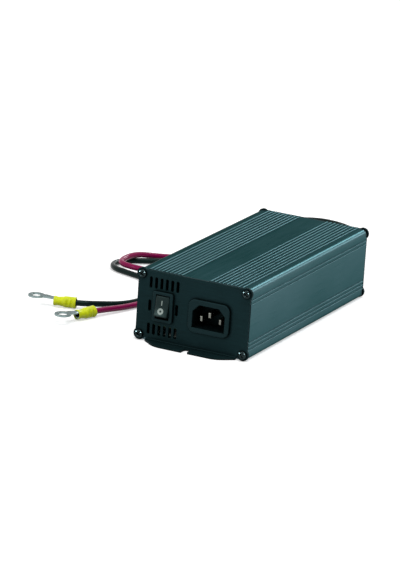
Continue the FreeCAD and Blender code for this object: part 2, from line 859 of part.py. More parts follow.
def switch_contacts():
    """Contact lever on the middle tab, closed on the lower tab at rest."""
    front = s.plunger_reach + s.plunger_gap
    solid = Solid("switch_contact")
    solid.grow("XZ", 0, s.contact_thick, centred(0, 0, s.contact_width, s.contact_half * 2))
    solid.body.Placement.Rotation = FreeCAD.Rotation(V(1, 0, 0), s.contact_tilt.value)
    solid.body.setExpression("Placement.Rotation.Angle", s.contact_tilt.text)
    move(solid.body, switch_across, hinge_y + front, switch_up)
    solid.done("switch_contact")
    tabs = []
    drop = math.sin(math.radians(s.contact_tilt.value))
    for k in (0, 1):
        start = hinge_y + front + s.contact_thick + s.contact_gap + s.contact_spread * k * drop
        up = switch_up - s.contact_spread * k
        half = s.switch_tab_width / 2
        tabs.append(block((switch_across - half, switch_across + half), (start, switch_back + s.tab_reach),
                          (up - s.tab_thick / 2, up + s.tab_thick / 2)))
    keep("switch_tabs", group(*tabs))


# Fan
fan_back = case_end - s.fan_thick


def fan():
    """Square fan: its frame with a hub on three struts, and its bladed rotor."""
    solid = Solid("fan_frame")
    solid.grow("XZ", fan_back, case_end, centred(fan_across, mid_z, fan_size, fan_size, s.fan_round))
    drawing = solid.drawing("XZ", fan_back)
    drawing.circle(fan_across, mid_z, fan_bore)
    for x, z in CORNERS:
        drawing.circle(fan_across + fan_screw_spread * x, mid_z + fan_screw_spread * z,
                       s.fan_screw_hole)
    solid.pocket(drawing, s.fan_thick)
    strut = s.rotor_lift * 0.7
    drawing = solid.drawing("XZ", fan_back + strut)
    reach = fan_bore + 0.6
    drawing.outline(rectangle(fan_across - reach, fan_across + reach, mid_z - 1.3, mid_z + 1.3))
    solid.pad(drawing, strut)
    solid.grow("XZ", fan_back, fan_back + strut,
               rectangle(fan_across - 1.3, fan_across + 1.3, mid_z - reach, mid_z + reach))
    drawing = solid.drawing("XZ", fan_back + strut)
    drawing.circle(fan_across, mid_z, s.hub_radius)
    solid.pad(drawing, strut)
    drawing = solid.drawing("XZ", fan_back)
    drawing.circle(fan_across, mid_z, s.shaft_radius + s.running_gap)
    solid.pocket(drawing, strut)
    solid.done("fan_frame")

    solid = Solid("fan_rotor")
    low, high = fan_back + s.rotor_lift, fan_back + s.rotor_lift + s.rotor_thick
    drawing = solid.drawing("XZ", s.rotor_lift + s.rotor_thick)
    drawing.circle(0, 0, s.rotor_hub)
    solid.pad(drawing, s.rotor_thick)
    solid.round_edges(s.rotor_thick * 0.12, lambda edge: edge.BoundBox.YMin > (high - low).value + 1.9)
    drawing = solid.drawing("XZ", s.rotor_lift + s.rotor_thick * 0.5)
    drawing.circle(0, 0, s.shaft_radius)
    solid.pad(drawing, s.rotor_lift + s.rotor_thick * 0.5)
    chord = s.rotor_thick * 1.05
    drawing = solid.drawing("YZ", s.rotor_hub * 0.9)
    pitched = FreeCAD.Rotation(V(0, 0, 1), s.blade_pitch.value)
    drawing.sketch.AttachmentOffset = FreeCAD.Placement(V(), pitched)
    drawing.sketch.setExpression("AttachmentOffset.Base.x", (s.rotor_lift + s.rotor_thick / 2).text)
    drawing.outline(centred(0, 0, chord, s.blade_thick))
    vane = solid.pad(drawing, fan_bore - s.rotor_gap - s.rotor_hub * 0.9)
    solid.turn_round(vane, "Y_Axis", s.blade_count)
    move(solid.body, fan_across, fan_back, mid_z)
    solid.done("fan_rotor")


# Lamp of the rear plate
lamp_radius = as_size(1.5)
lamp_across = (red_across + black_across) / 2
lamp_up = board_top + 1.6


def lamp():
    """Status lamp in the rear plate and its two leads to the board."""
    flange = plate_out - s.plate_thick - 1.2
    keep("status_lamp", fuse(
        rod("Y", lamp_across, flange, lamp_up, lamp_radius, plate_out - flange),
        taper("Y", lamp_across, plate_out, lamp_up, lamp_radius, lamp_radius * 0.6, as_size(1.0)),
        rod("Y", lamp_across, flange - 2.6, lamp_up, lamp_radius + 0.35, as_size(2.6) + 1.15)))
    wire = as_size(0.3)
    start = flange - 2.6
    leads = []
    for side in SIDES:
        x = lamp_across + 0.9 * side
        foot = board_rear - 3.0
        leads.append(fuse(block((x - wire, x + wire), (foot, start), (lamp_up - wire, lamp_up + wire)),
                          block((x - wire, x + wire), (foot, foot + wire * 2), (board_top, lamp_up + wire))))
    keep("lamp_leads", group(*leads))


# Circuit board and what stands on it

# Half length of the case for which the board is laid out; its parts spread along it with the case
LAYOUT_HALF = 92.5


def along(y):
    """Place along the board of something that the layout has at y."""
    return case_end * (y / LAYOUT_HALF)


def upright(x, y, radius, tall):
    """A can that stands on the board."""
    return rod("Z", x, y, board_top, radius, tall)


def chip(x, y, width, depth, tall, lift=0.0):
    """A block that stands on the board, centred at (x, y)."""
    x, y = as_size(x), as_size(y)
    return block((x - width / 2, x + width / 2), (y - depth / 2, y + depth / 2),
                 (board_top + lift, board_top + lift + tall))


def board():
    """Circuit board in the rails, and the insulating sheet under it."""
    edge = inner_x - s.board_edge
    solid = Solid("circuit_board")
    solid.grow("XY", board_z, board_top, rectangle(-edge, edge, -board_front, board_rear))
    solid.done("circuit_board")
    floor = base_z + s.case_wall
    across, long = half_x - s.sheet_side, case_end - s.sheet_end
    keep("insulating_sheet", block((-across, across), (-long, long), (floor, floor + s.sheet_thick)))


def capacitor(x, y, radius, tall):
    """Electrolytic can with its crimped groove and the relief cross in its top."""
    can = upright(x, y, radius, tall)
    x, y = as_size(x), as_size(y)
    ring = cut(upright(x, y, radius + 0.5, as_size(1.0)), upright(x, y, radius * 0.94, as_size(1.0)))
    move(ring.Base, x, y, board_top + tall * 0.12)
    move(ring.Tool, x, y, board_top + tall * 0.12)
    top = board_top + tall
    arm = radius * 0.6
    cross = fuse(block((x - arm, x + arm), (y - 0.25, y + 0.25), (top - 0.3, top)),
                 block((x - 0.25, x + 0.25), (y - arm, y + arm), (top - 0.3, top)))
    return cut(can, ring, cross)


def mains_side():
    """Fuse, filter, bridge, reservoir capacitor and the power switches."""
    radius = as_size(2.6)
    lift = radius + 1.6
    x, low = inner_x - 6.2, along(-48.0) - 10.0
    high = low + 20.0
    keep("mains_fuse", rod("Y", x, low, board_top + lift, radius, high - low))
    clips = []
    for y in (low + 1.0, high - 6.0):
        shell = block((x - radius - 0.7, x + radius + 0.7), (y, y + 5.0),
                      (board_top, board_top + lift + 1.2))
        bore = rod("Y", x, y, board_top + lift, radius + s.seat_gap, as_size(5.0))
        mouth = block((x - radius * 0.7, x + radius * 0.7), (y, y + 5.0),
                      (board_top + lift, board_top + lift + 1.3))
        clips.append(cut(shell, bore, mouth))
    keep("fuse_clips", group(*clips))
    keep("filter_capacitor", chip(2.0, along(-60.0), as_size(12.0), as_size(7.5), as_size(9.0)))
    choke_x, choke_y = 9.0, along(-43.0)
    leg, wide, tall = as_size(5.0), as_size(22.0), as_size(20.0)
    frame = chip(choke_x, choke_y, wide, leg, tall)
    window = chip(choke_x, choke_y, wide - leg * 2, leg, tall - leg * 2, lift=leg)
    keep("filter_choke_core", cut(frame, window))
    coils = []
    for side in SIDES:
        across = as_size(choke_x) + (wide - leg) / 2 * side
        coil = chip(across, choke_y, leg + 5.0, leg + 5.0, tall - leg * 2 - 0.6, lift=leg + 0.3)
        coils.append(cut(coil, chip(across, choke_y, leg + s.seat_gap * 2, leg + s.seat_gap * 2,
                                    tall - leg * 2 - 0.6, lift=leg + 0.3)))
    keep("filter_choke_coils", group(*coils))
    keep("reservoir_capacitor", capacitor(17.2 - inner_x, along(-40.0), as_size(11.0),
                                          inner_top - board_top - 5.7))
    heat_sink("primary_heat_sink", 1, along(-20.0), along(26.0))
    keep("bridge_rectifier",
         chip(sink_face - 2.1, along(-12.0), as_size(4.2), as_size(14.0), as_size(17.0), lift=2.0))
    keep("power_transistors", group(*[tab_device(sink_face, along(y), -1) for y in (4.0, 18.0)]))


sink_face = inner_x - 12.2


def heat_sink(name, side, low, high):
    """Finned sink that stands on the board with its fins to the side wall."""
    thick, reach, tall = as_size(2.5), as_size(6.5), inner_top - board_top - 7.7
    fin, count = as_size(1.2), 5
    points = [(sink_face * side, board_top), (sink_face * side, board_top + tall)]
    step = (tall - fin) / (count - 1)
    for k in reversed(range(count)):
        level = board_top + step * k
        points.append(((sink_face + thick + reach) * side, level + fin))
        points.append(((sink_face + thick + reach) * side, level))
        if k:
            points.append(((sink_face + thick) * side, level))
            points.append(((sink_face + thick) * side, board_top + step * (k - 1) + fin))
    if side > 0:
        points.reverse()
    solid = Solid(name)
    solid.grow("XZ", low, high, points)
    solid.done(name)


def tab_device(face, y, side):
    """Power device with its metal tab flat on a sink face and three legs to the board."""
    y = as_size(y)

    def spans(first, last):
        """From first to last off the face, lower end first."""
        return tuple(sorted((face + first * side, face + last * side), key=lambda size: size.value))

    foot = board_top + 5.0
    tab = block(spans(0, 1.3), (y - 5.0, y + 5.0), (foot, foot + 15.0))
    case = block(spans(0, 4.4), (y - 5.0, y + 5.0), (foot, foot + 9.0))
    legs = [block(spans(2.0, 2.6), (y + 2.54 * k - 0.4, y + 2.54 * k + 0.4), (board_top, foot))
            for k in (-1, 0, 1)]
    return fuse(tab, case, *legs)


def output_side():
    """Transformer, output rectifiers and choke, output capacitors and control chips."""
    x, y = -2.0, along(-6.0)
    wide, deep, tall = as_size(34.0), as_size(13.0), inner_top - board_top - 8.7
    yoke, middle_leg, window = as_size(4.6), as_size(10.0), as_size(7.6)
    core = chip(x, y, wide, deep, tall)
    gaps = [chip(as_size(x) + (middle_leg + window) / 2 * side, y, window, deep, tall - yoke * 2, lift=yoke)
            for side in SIDES]
    keep("transformer_core", cut(core, *gaps))
    turns = tall - yoke * 2 - 0.4
    coil = chip(x, y, middle_leg + window * 2 - 0.8, deep + window * 2 - 0.8, turns, lift=yoke + 0.2)
    keep("transformer_winding", cut(coil, chip(x, y, middle_leg + s.seat_gap * 2, deep + s.seat_gap * 2,
                                               turns, lift=yoke + 0.2)))
    heat_sink("output_heat_sink", -1, along(-4.0), along(42.0))
    keep("output_rectifiers", group(*[tab_device(-sink_face, along(y), 1) for y in (10.0, 28.0)]))
    spool_x, spool_y = 5.0, along(37.0)
    brim, drum, height = as_size(11.0), as_size(5.0), as_size(17.0)
    cheek = as_size(2.0)
    gap = cut(upright(spool_x, spool_y, brim + 1.0, height - cheek * 2),
              upright(spool_x, spool_y, drum, height - cheek * 2))
    for item in (gap.Base, gap.Tool):
        move(item, spool_x, spool_y, board_top + cheek)
    keep("output_choke_core", cut(upright(spool_x, spool_y, brim, height), gap))
    winding = tube("Z", spool_x, spool_y, board_top + cheek + 0.1, brim - 0.6, drum + s.seat_gap,
                   height - cheek * 2 - 0.2)
    keep("output_choke_winding", winding)
    keep("output_capacitors", group(*[capacitor(red_across - s.can_to_post - s.can_pitch * i, along(60.0),
                                                as_size(5.0), as_size(20.0)) for i in (2, 1, 0)]))
    keep("control_chips", group(chip(-12.0, along(21.0), as_size(6.4), as_size(19.0), as_size(3.4)),
                                chip(17.0, along(58.0), as_size(4.0), as_size(5.0), as_size(1.6)),
                                chip(12.0, along(14.0), as_size(6.4), as_size(9.6), as_size(3.4))))
    keep("output_posts", group(*[chip(x, post_y, as_size(6.0), as_size(6.0), post_tall)
                                 for x in (red_across, black_across)]))


post_y = along(66.0)
post_tall = as_size(8.0)


# Leads and wires

def bush(name, across):
    """Rubber bush of one output lead: two flanges, a neck in the plate and a tapered tail."""
    inner = case_end - s.bush_flange_thick
    tail = plate_out + s.bush_flange_thick
    body = fuse(rod("Y", across, inner, lead_up, s.bush_flange, s.bush_flange_thick),
                rod("Y", across, case_end, lead_up, s.bush_neck, s.plate_thick),
                rod("Y", across, plate_out, lead_up, s.bush_flange, s.bush_flange_thick),
                taper("Y", across, tail, lead_up, s.bush_neck, s.bush_tip, s.bush_tail))
    bore = rod("Y", across, inner, lead_up, s.lead_diameter / 2 + s.running_gap,
               s.plate_thick + s.bush_flange_thick * 2 + s.bush_tail)
    keep(name, cut(body, bore))


lead_exit = plate_out + s.bush_flange_thick + s.bush_tail


def routed(points):
    """Straight runs joined by tangent arcs, each as large as its two runs allow, with the radii."""
    edges = []
    radii = []
    start = points[0]
    for before, here, after in zip(points, points[1:], points[2:]):
        first, second = here - before, after - here
        turn = first.getAngle(second)
        reach = 0.45 * min(first.Length, second.Length)
        radius = reach / math.tan(turn / 2)
        first.normalize()
        second.normalize()
        enter, leave = here - first * reach, here + second * reach
        towards = second - first
        towards.normalize()
        centre = here + towards * (radius / math.cos(turn / 2))
        crown = centre - towards * radius
        edges.append(Part.LineSegment(start, enter).toShape())
        edges.append(Part.Arc(enter, crown, leave).toShape())
        radii.append(radius)
        start = leave
    edges.append(Part.LineSegment(start, points[-1]).toShape())
    return Part.Wire(edges), radii


def lead(name, points, radius):
    """Round tube along a route, tested against its section times its length."""
    path, radii = routed(points)
    ring = Part.Wire([Part.makeCircle(radius, points[0], points[1] - points[0])])
    shape = path.makePipeShell([ring], True, False)
    expected = math.pi * radius ** 2 * path.Length
    if abs(shape.Volume - expected) > 0.01 * expected:
        raise RuntimeError(f"{name}: volume {shape.Volume:.1f}, expected {expected:.1f}")
    item = doc.addObject("Part::Feature", name)
    item.Shape = shape
    tightest = min(radii) if radii else math.inf
    print(f"{name}: length {path.Length:.1f} mm, tightest radius {tightest:.1f} mm")
    print("   radii " + " ".join(f"{r:.0f}" for r in radii))
    return keep(name, item)


# Each ring terminal: the middle of its sleeve's rear end from the lead's exit, and its heading from +X
TERMINALS = {
    "negative": (V(-128.6, -161.2, 0), 196.7),
    "positive": (V(-97.9, -170.5, 0), 250.0),
}

# Free stretch of each output lead between its bush and its terminal, as it lies in the photograph. The first
# two numbers count from the lead's exit and the third from the floor, for an exit at EXIT_HEIGHT.
EXIT_HEIGHT = 39.5
FLOOR_HEIGHT = 2.3
POSITIVE_ROUTE = [
    (0.0, 10.7, 39.5), (-6.4, 21.2, 35.0), (-23.0, 26.3, 25.8), (-43.0, 25.5, 17.4), (-63.0, 19.0, 10.4),
    (-82.5, 9.5, 5.2), (-101.0, -1.5, 2.4), (-117.2, -12.3, 2.3), (-131.8, -22.7, 3.6),
    (-139.8, -34.3, 6.2), (-141.6, -46.9, 7.1), (-134.2, -57.5, 4.4), (-120.2, -60.5, 3.0),
    (-103.5, -67.9, 2.3), (-90.4, -83.7, 2.3), (-83.0, -104.0, 2.3), (-82.6, -125.0, 2.3),
    (-87.6, -145.0, 2.6),
]
NEGATIVE_ROUTE = [
    (0.0, 9.9, 39.5), (-5.5, 18.4, 40.0), (-18.5, 23.0, 40.9), (-34.5, 23.0, 38.2), (-53.5, 18.0, 30.2),
    (-72.5, 9.8, 20.8), (-91.5, -0.5, 12.0), (-109.5, -11.5, 5.2), (-126.0, -22.0, 2.4),
    (-140.5, -32.9, 2.3), (-154.7, -41.5, 2.3), (-158.1, -54.1, 2.3), (-151.6, -65.3, 2.3),
    (-137.3, -70.1, 2.3), (-122.1, -76.5, 2.3), (-110.5, -88.1, 2.3), (-102.0, -104.0, 2.3),
    (-102.1, -121.0, 2.3), (-107.7, -136.7, 2.3), (-117.5, -150.5, 3.0),
]


def output_lead(pole, across, route):
    """Inner stretch from the board to the bush, free stretch to the terminal, and the terminal itself."""
    radius = s.lead_diameter.value / 2
    x = across.value
    up = lead_up.value
    post_top = (board_top + post_tall).value
    start = V(x, lead_exit.value, up)
    lead(f"{pole}_inner_lead",
         [V(x, post_y.value, post_top), V(x, post_y.value, post_top + (up - post_top) * 0.57),
          V(x, post_y.value + 8.5, up - 0.3), V(x, post_y.value + 21.0, up), start], radius)
    spot, heading = TERMINALS[pole]
    way = V(math.cos(math.radians(heading)), math.sin(math.radians(heading)), 0)
    rear = V(start.x + spot.x, start.y + spot.y, s.sleeve_rear.value)
    floor = radius + FLOOR_HEIGHT - 2.1
    share = (up - floor) / (EXIT_HEIGHT - FLOOR_HEIGHT)
    points = [start] + [V(start.x + u, start.y + v, floor + (w - FLOOR_HEIGHT) * share) for u, v, w in route]
    points += [rear - way * 2.5, rear + way * s.crimp_depth.value]
    lead(f"{pole}_lead", points, radius)
    terminal(pole, rear, heading)


def terminal(pole, rear, heading):
    """Ring terminal with its crimp barrel, and its insulating sleeve."""
    solid = Solid(f"{pole}_ring_terminal")
    drawing = solid.drawing("YZ", s.barrel_start)
    drawing.circle(0, 0, s.barrel_radius)
    drawing.circle(0, 0, s.lead_diameter / 2 + s.running_gap)
    solid.pad(drawing, s.barrel_end - s.barrel_start)
    top = s.barrel_radius
    half = s.tongue_width / 2
    solid.grow("XY", top - s.tongue_thick, top,
               rectangle(s.barrel_end - 0.9, s.ring_reach - s.ring_radius * 0.6, -half, half))
    solid.grow("XZ", -half, half,
               [(s.barrel_end - 0.9, -s.barrel_radius * 0.6), (s.barrel_end, -s.barrel_radius * 0.6),
                (s.barrel_end + 3.0, top - s.tongue_thick), (s.barrel_end + 3.0, top),
                (s.barrel_end - 0.9, top)])
    drawing = solid.drawing("XY", top - s.tongue_thick)
    drawing.circle(s.ring_reach, 0, s.ring_radius)
    solid.pad(drawing, s.tongue_thick)
    drawing = solid.drawing("XY", top)
    drawing.circle(s.ring_reach, 0, s.ring_bore)
    solid.pocket(drawing, s.tongue_thick)
    sleeve = Solid(f"{pole}_terminal_sleeve")
    drawing = sleeve.drawing("XY", 0)
    bore = s.barrel_radius + s.seat_gap
    shoulder = s.sleeve_shoulder
    drawing.outline([(0, bore), (s.sleeve_long, bore), (s.sleeve_long, s.sleeve_front),
                     (shoulder + 1.5, s.sleeve_front), (shoulder, s.sleeve_rear), (0, s.sleeve_rear)])
    spin = sleeve.body.newObject("PartDesign::Revolution", f"{pole}_sleeve_turn")
    spin.Profile = drawing.sketch
    spin.ReferenceAxis = (drawing.sketch, ["H_Axis"])
    spin.Angle = 360
    sleeve.finish(spin, drawing, 1)
    for piece, name in ((solid, "ring_terminal"), (sleeve, "terminal_sleeve")):
        piece.body.Placement = FreeCAD.Placement(rear, FreeCAD.Rotation(V(0, 0, 1), heading))
        piece.body.setExpression("Placement.Base.z", s.sleeve_rear.text)
        piece.done(f"{pole}_{name}")


def mains_wires():
    """Wires from the inlet to the switch and the board."""
    r = s.wire_radius.value
    tab_end = (inlet_back + s.tab_reach).value
    switch_end = (switch_back + s.tab_reach).value
    live_x, live_z = (size.value for size in blade_place(-1, 0))
    neutral_x, neutral_z = (size.value for size in blade_place(1, 0))
    earth_x, earth_z = (size.value for size in blade_place(0, 1))
    across, up = switch_across.value, switch_up.value
    low = up - s.contact_spread.value
    top = board_top.value
    span = live_x - across
    lead("live_wire", [V(live_x, tab_end, live_z), V(live_x, tab_end + 7.2, live_z),
                       V(live_x - span * 0.19, tab_end + 13.2, live_z + 1.2),
                       V(across + span * 0.27, tab_end + 13.4, up - 0.6),
                       V(across, switch_end + 9.0, up), V(across, switch_end, up)], r)
    lead("switched_wire", [V(across, switch_end, low), V(across, switch_end + 9.0, low),
                           V(across, switch_end + 13.1, low - 4.1), V(across, switch_end + 13.1, top)], r)
    lead("neutral_wire", [V(neutral_x, tab_end, neutral_z), V(neutral_x, tab_end + 8.7, neutral_z),
                          V(neutral_x, tab_end + 13.3, neutral_z - 4.6),
                          V(neutral_x, tab_end + 13.3, top)], r)
    lead("earth_wire", [V(earth_x, tab_end, earth_z), V(earth_x, tab_end + 9.0, earth_z),
                        V(earth_x, tab_end + 15.0, earth_z - 6.0), V(earth_x, tab_end + 15.0, top)], r)


housing_shell()
front_plate()
rear_plate()
screws()
inlet()
switch_body()
switch_rocker()
switch_plunger()
switch_contacts()
fan()
lamp()
board()
mains_side()
output_side()
for pole, place, route in (("positive", red_across, POSITIVE_ROUTE),
                           ("negative", black_across, NEGATIVE_ROUTE)):
    bush(f"{pole}_bush", place)
    output_lead(pole, place, route)
mains_wires()

doc.recompute()
for item in doc.Objects:
    if "Invalid" in item.State or "Error" in item.State:
        raise RuntimeError(f"{item.Label} failed: {item.State}")
for name, item in nodes.items():
    if item.Shape.isNull() or not item.Shape.isValid() or not item.Shape.Solids:
        raise RuntimeError(f"{name} has no sound shape")

os.makedirs("parts", exist_ok=True)
for name, item in nodes.items():
    item.Shape.exportStep(f"parts/{name}.step")
print(len(nodes), "sub-parts written")
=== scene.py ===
"""Dressed model of a car battery charger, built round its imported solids.

Lengths are in metres in the part's own frame: +X right, the front plate faces -Y, +Z up. Sizes are written in
millimetres and multiplied by MM where they are used.
"""
import logging
import math
from collections.abc import Iterable, Sequence
from dataclasses import dataclass
from enum import Enum

import bmesh
import bpy
from bmesh.types import BMesh
from bpy.types import ID, Collection, Material, Mesh, Node, NodeSocket, NodeTree, Object
from mathutils import Color, Matrix, Vector

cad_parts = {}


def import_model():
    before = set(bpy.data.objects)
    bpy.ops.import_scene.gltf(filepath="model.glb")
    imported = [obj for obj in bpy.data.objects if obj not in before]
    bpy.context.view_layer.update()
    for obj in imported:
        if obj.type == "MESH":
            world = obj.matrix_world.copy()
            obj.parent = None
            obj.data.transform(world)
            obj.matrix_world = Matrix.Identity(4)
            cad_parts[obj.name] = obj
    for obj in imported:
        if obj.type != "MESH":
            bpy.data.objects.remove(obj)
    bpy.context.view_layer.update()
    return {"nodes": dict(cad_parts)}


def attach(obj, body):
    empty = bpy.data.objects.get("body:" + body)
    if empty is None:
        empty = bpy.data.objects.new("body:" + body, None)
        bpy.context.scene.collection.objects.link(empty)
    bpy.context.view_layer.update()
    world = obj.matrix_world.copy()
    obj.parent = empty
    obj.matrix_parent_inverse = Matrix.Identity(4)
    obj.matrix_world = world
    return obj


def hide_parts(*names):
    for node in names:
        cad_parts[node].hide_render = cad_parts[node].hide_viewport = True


Spot = tuple[float, float]
Place = tuple[float, float, float]

LOG = logging.getLogger("charger")
MM = 0.001
MERGE = 1e-7
SCREWS = "Screws"
SOCKET_KINDS = {int: "Int", float: "Float", Object: "Object", Material: "Material"}
BLACK = (0.0, 0.0, 0.0, 1.0)
WHITE = (1.0, 1.0, 1.0, 1.0)
# Spans of the noises: the fine and the slow one together for the colour, the fine one alone for the gloss
COLOUR_SPAN = (0.75, 1.25)
GLOSS_SPAN = (0.3, 0.7)
# Painted shade in crevices, by ambient occlusion: how open a spot is in a crevice and out of it, and the
# share of its colour that is left
CREVICE_SHADE_SPAN = (0.45, 0.95)
CREVICE_SHADE_LEFT = (0.12, 1.0)
# Painted shade behind a front: how far behind it a finish gets dark, in millimetres, and the share of black
# from there to the back
FRONT_SHADE_FADE = 0.4
FRONT_SHADE_BLACK = (0.0, 0.85)
# Where the leads leave the case, in millimetres
EXIT_ACROSS = {"positive": 11.0, "negative": 23.5}
EXIT_Y = 102.5
EXIT_Z = 39.5


# Numbers and node trees

def linear(code: str) -> tuple[float, ...]:
    """Turns an sRGB value, #RRGGBB, to linear red, green and blue with an alpha of 1."""
    parts = [int(code[i:i + 2], 16) / 255 for i in (1, 3, 5)]
    return (*Color(parts).from_srgb_to_scene_linear(), 1.0)


def arc(u: float, v: float, radius: float, first: float, last: float, steps: int) -> list[Spot]:
    """Points of an arc about (u, v), from and to angles in degrees."""
    angles = [math.radians(first + (last - first) * i / steps) for i in range(steps + 1)]
    return [(u + radius * math.cos(a), v + radius * math.sin(a)) for a in angles]


def ease(share: float) -> float:
    """Smooth step from 0 to 1."""
    return share * share * (3 - 2 * share)


def between(first: float, last: float, share: float) -> float:
    """Value that is this share of the way from the first to the last."""
    return first + (last - first) * share


def round_angles(count: int) -> list[float]:
    """Evenly spaced angles of a full turn."""
    return [2 * math.pi * i / count for i in range(count)]


def cleared(owner: ID) -> NodeTree:
    """Gives a world or a material an empty node tree.

    Args:
        owner: The world or material.

    Returns:
        The tree.
    """
    owner.use_nodes = True
    owner.node_tree.nodes.clear()
    return owner.node_tree


def add_node(tree: NodeTree, kind: str, inputs: dict | None = None, **settings) -> Node:
    """Adds a node with its settings and inputs.

    Args:
        tree: Node tree that gets the node.
        kind: Its type's name, which may leave off the start that all of the tree's own nodes share.
        inputs: Values or sockets by the input's name or number.
        **settings: The node's own properties.

    Returns:
        The new node.
    """
    node = tree.nodes.new(kind if "Node" in kind else f"{tree.type.title()}Node{kind}")
    for name, value in settings.items():
        setattr(node, name, value)
    for key, value in (inputs or {}).items():
        if isinstance(value, NodeSocket):
            tree.links.new(value, node.inputs[key])
        else:
            node.inputs[key].default_value = value
    return node


def socket(tree: NodeTree, kind: str, inputs: dict | None = None, out: int | str = 0, **settings
           ) -> NodeSocket:
    """Adds a node as add_node does, and gives its output of this number or name."""
    return add_node(tree, kind, inputs, **settings).outputs[out]


def ranged(tree: NodeTree, value: NodeSocket, span: Sequence, reach: Sequence = (0.0, 1.0)) -> NodeSocket:
    """Maps a value so that the span's two ends become the reach's, and holds it there."""
    ends = dict(zip(("From Min", "From Max", "To Min", "To Max"), (*span, *reach)))
    return socket(tree, "ShaderNodeMapRange", {"Value": value, **ends}, "Result")


def blended(tree: NodeTree, share: NodeSocket, first: object, second: object) -> NodeSocket:
    """Mixes two colours, each a value or a socket."""
    return socket(tree, "Mix", {0: share, 6: first, 7: second}, 2, data_type="RGBA")


# Finishes

class Grain(Enum):
    """How a surface's fine pattern runs: its density along X, Y and Z."""

    EVEN = (1.0, 1.0, 1.0)
    DRAWN = (1.0, 0.015, 1.0)
    ROLLED = (0.06, 1.0, 1.0)


@dataclass(frozen=True)
class Finish:
    """One real finish and how it meets the eye, with lengths in millimetres; some also carry painted shade in
    crevices and behind their front.
    """

    name: str
    slot: str
    base: str
    shade: str
    roughness: float
    spread: float = 0.06
    metallic: float = 0.0
    specular: float = 0.5
    tint: str = "#FFFFFF"
    pitch: float = 0.5
    grain: Grain = Grain.EVEN
    relief: float = 0.008
    patch: float = 18.0
    edge: float = 0.0
    subsurface: float = 0.0
    transmission: float = 0.0
    crevice_shade: float = 0.0
    front: float = 0.0

    def build(self) -> Material:
        """Builds the material, once.

        Returns:
            The finish as a Blender material.
        """
        known = bpy.data.materials.get(self.name)
        if known:
            return known
        material = bpy.data.materials.new(self.name)
        tree = cleared(material)
        place = socket(tree, "TexCoord", out="Object")
        density = [share / (self.pitch * MM) for share in self.grain.value]
        drawn = socket(tree, "Mapping", {"Vector": place, "Scale": density})
        fine = socket(tree, "TexNoise",
                      {"Vector": drawn, "Scale": 1.0, "Detail": 3.0, "Roughness": 0.6}, "Fac")
        slow = socket(tree, "TexNoise",
                      {"Vector": place, "Scale": 1 / (self.patch * MM), "Detail": 2.0}, "Fac")
        both = socket(tree, "Math", {0: fine, 1: slow}, operation="ADD")
        colour = blended(tree, ranged(tree, both, COLOUR_SPAN), linear(self.base), linear(self.shade))
        # Painted shade: where ambient occlusion finds a crevice or a joint, the colour is darkened towards
        # black
        if self.crevice_shade:
            sky = socket(tree, "AmbientOcclusion", {"Distance": self.crevice_shade * MM}, "AO", samples=8)
            colour = blended(tree, ranged(tree, sky, CREVICE_SHADE_SPAN, CREVICE_SHADE_LEFT), BLACK, colour)
        # Painted shade: behind the given front along Y the colour fades to nearly black, standing in for the
        # shade on sides and in recesses
        if self.front:
            depth = socket(tree, "SeparateXYZ", {0: place}, "Y")
            shade_fade = (self.front * MM, (self.front + FRONT_SHADE_FADE) * MM)
            colour = blended(tree, ranged(tree, depth, shade_fade, FRONT_SHADE_BLACK), colour, BLACK)
        bump = {"Height": fine, "Strength": 1.0, "Distance": self.relief * MM}
        if self.edge:
            bump["Normal"] = socket(tree, "Bevel", {"Radius": self.edge * MM}, samples=6)
        surface = socket(tree, "BsdfPrincipled", {
            "Base Color": colour,
            "Roughness": ranged(tree, fine, GLOSS_SPAN,
                                (self.roughness - self.spread, self.roughness + self.spread)),
            "Normal": socket(tree, "Bump", bump),
            "Metallic": self.metallic,
            "Specular IOR Level": self.specular,
            "Specular Tint": linear(self.tint),
            "Subsurface Weight": self.subsurface,
            "Subsurface Radius": (0.002, 0.002, 0.001),
            "Subsurface Scale": 0.5,
            "Transmission Weight": self.transmission,
        })
        add_node(tree, "OutputMaterial", {"Surface": surface})
        return material


# Dyed anodised extrusion: a satin metal with fine lines pulled along the die's way. The dye drinks more light
# at a low angle, so the top stays dark against a white room
ANODISED = Finish("Anodised aluminium extrusion", "anodised_case", "#546B70", "#5B7278", 0.3, 0.03,
                  metallic=1.0, tint="#80857F", grain=Grain.DRAWN, relief=0.003, patch=60.0)
# Black anodised sheet: dark and nearly flat, with the faint streaks of rolling, and painted shade darkening
# it in crevices and round the parts that stand on it
BLACK_SHEET = Finish("Black anodised sheet", "end_plate", "#132426", "#182D30", 0.48, metallic=0.45,
                     specular=0.08, tint="#9FB4B6", pitch=0.6, grain=Grain.ROLLED, relief=0.006,
                     patch=40.0, edge=0.3, crevice_shade=2.6)
# Black zinc plate on a steel screw: a dark mirror, so small lights make sharp spots on it
BLACK_ZINC = Finish("Black zinc plated steel", "fastener", "#1C2526", "#263031", 0.12, 0.02, metallic=1.0,
                    tint="#A0A8A8", pitch=0.3, relief=0.003, patch=3.0)
# Glass filled nylon: a dull teal sheen on its front, while its sides and the recess get painted shade, faded
# to nearly black behind the front, and painted shade in crevices
NYLON = Finish("Moulded nylon", "black_plastic", "#1A2C2F", "#1E3235", 0.42, specular=0.1, tint="#9FD4D8",
               pitch=0.25, patch=25.0, edge=0.25, crevice_shade=1.8, front=-95.85)
# Polycarbonate rocker from a polished mould, and the pad printing ink on it
ROCKER_RESIN = Finish("Moulded polycarbonate", "rocker_plastic", "#0C1718", "#101D1E", 0.28, specular=0.3,
                      tint="#B4DCD8", pitch=0.4, relief=0.003, patch=12.0)
MARK_INK = Finish("Pad printing ink", "rocker_plastic", "#A4B4AE", "#98A8A2", 0.45, pitch=0.3,
                  relief=0.004, patch=4.0)
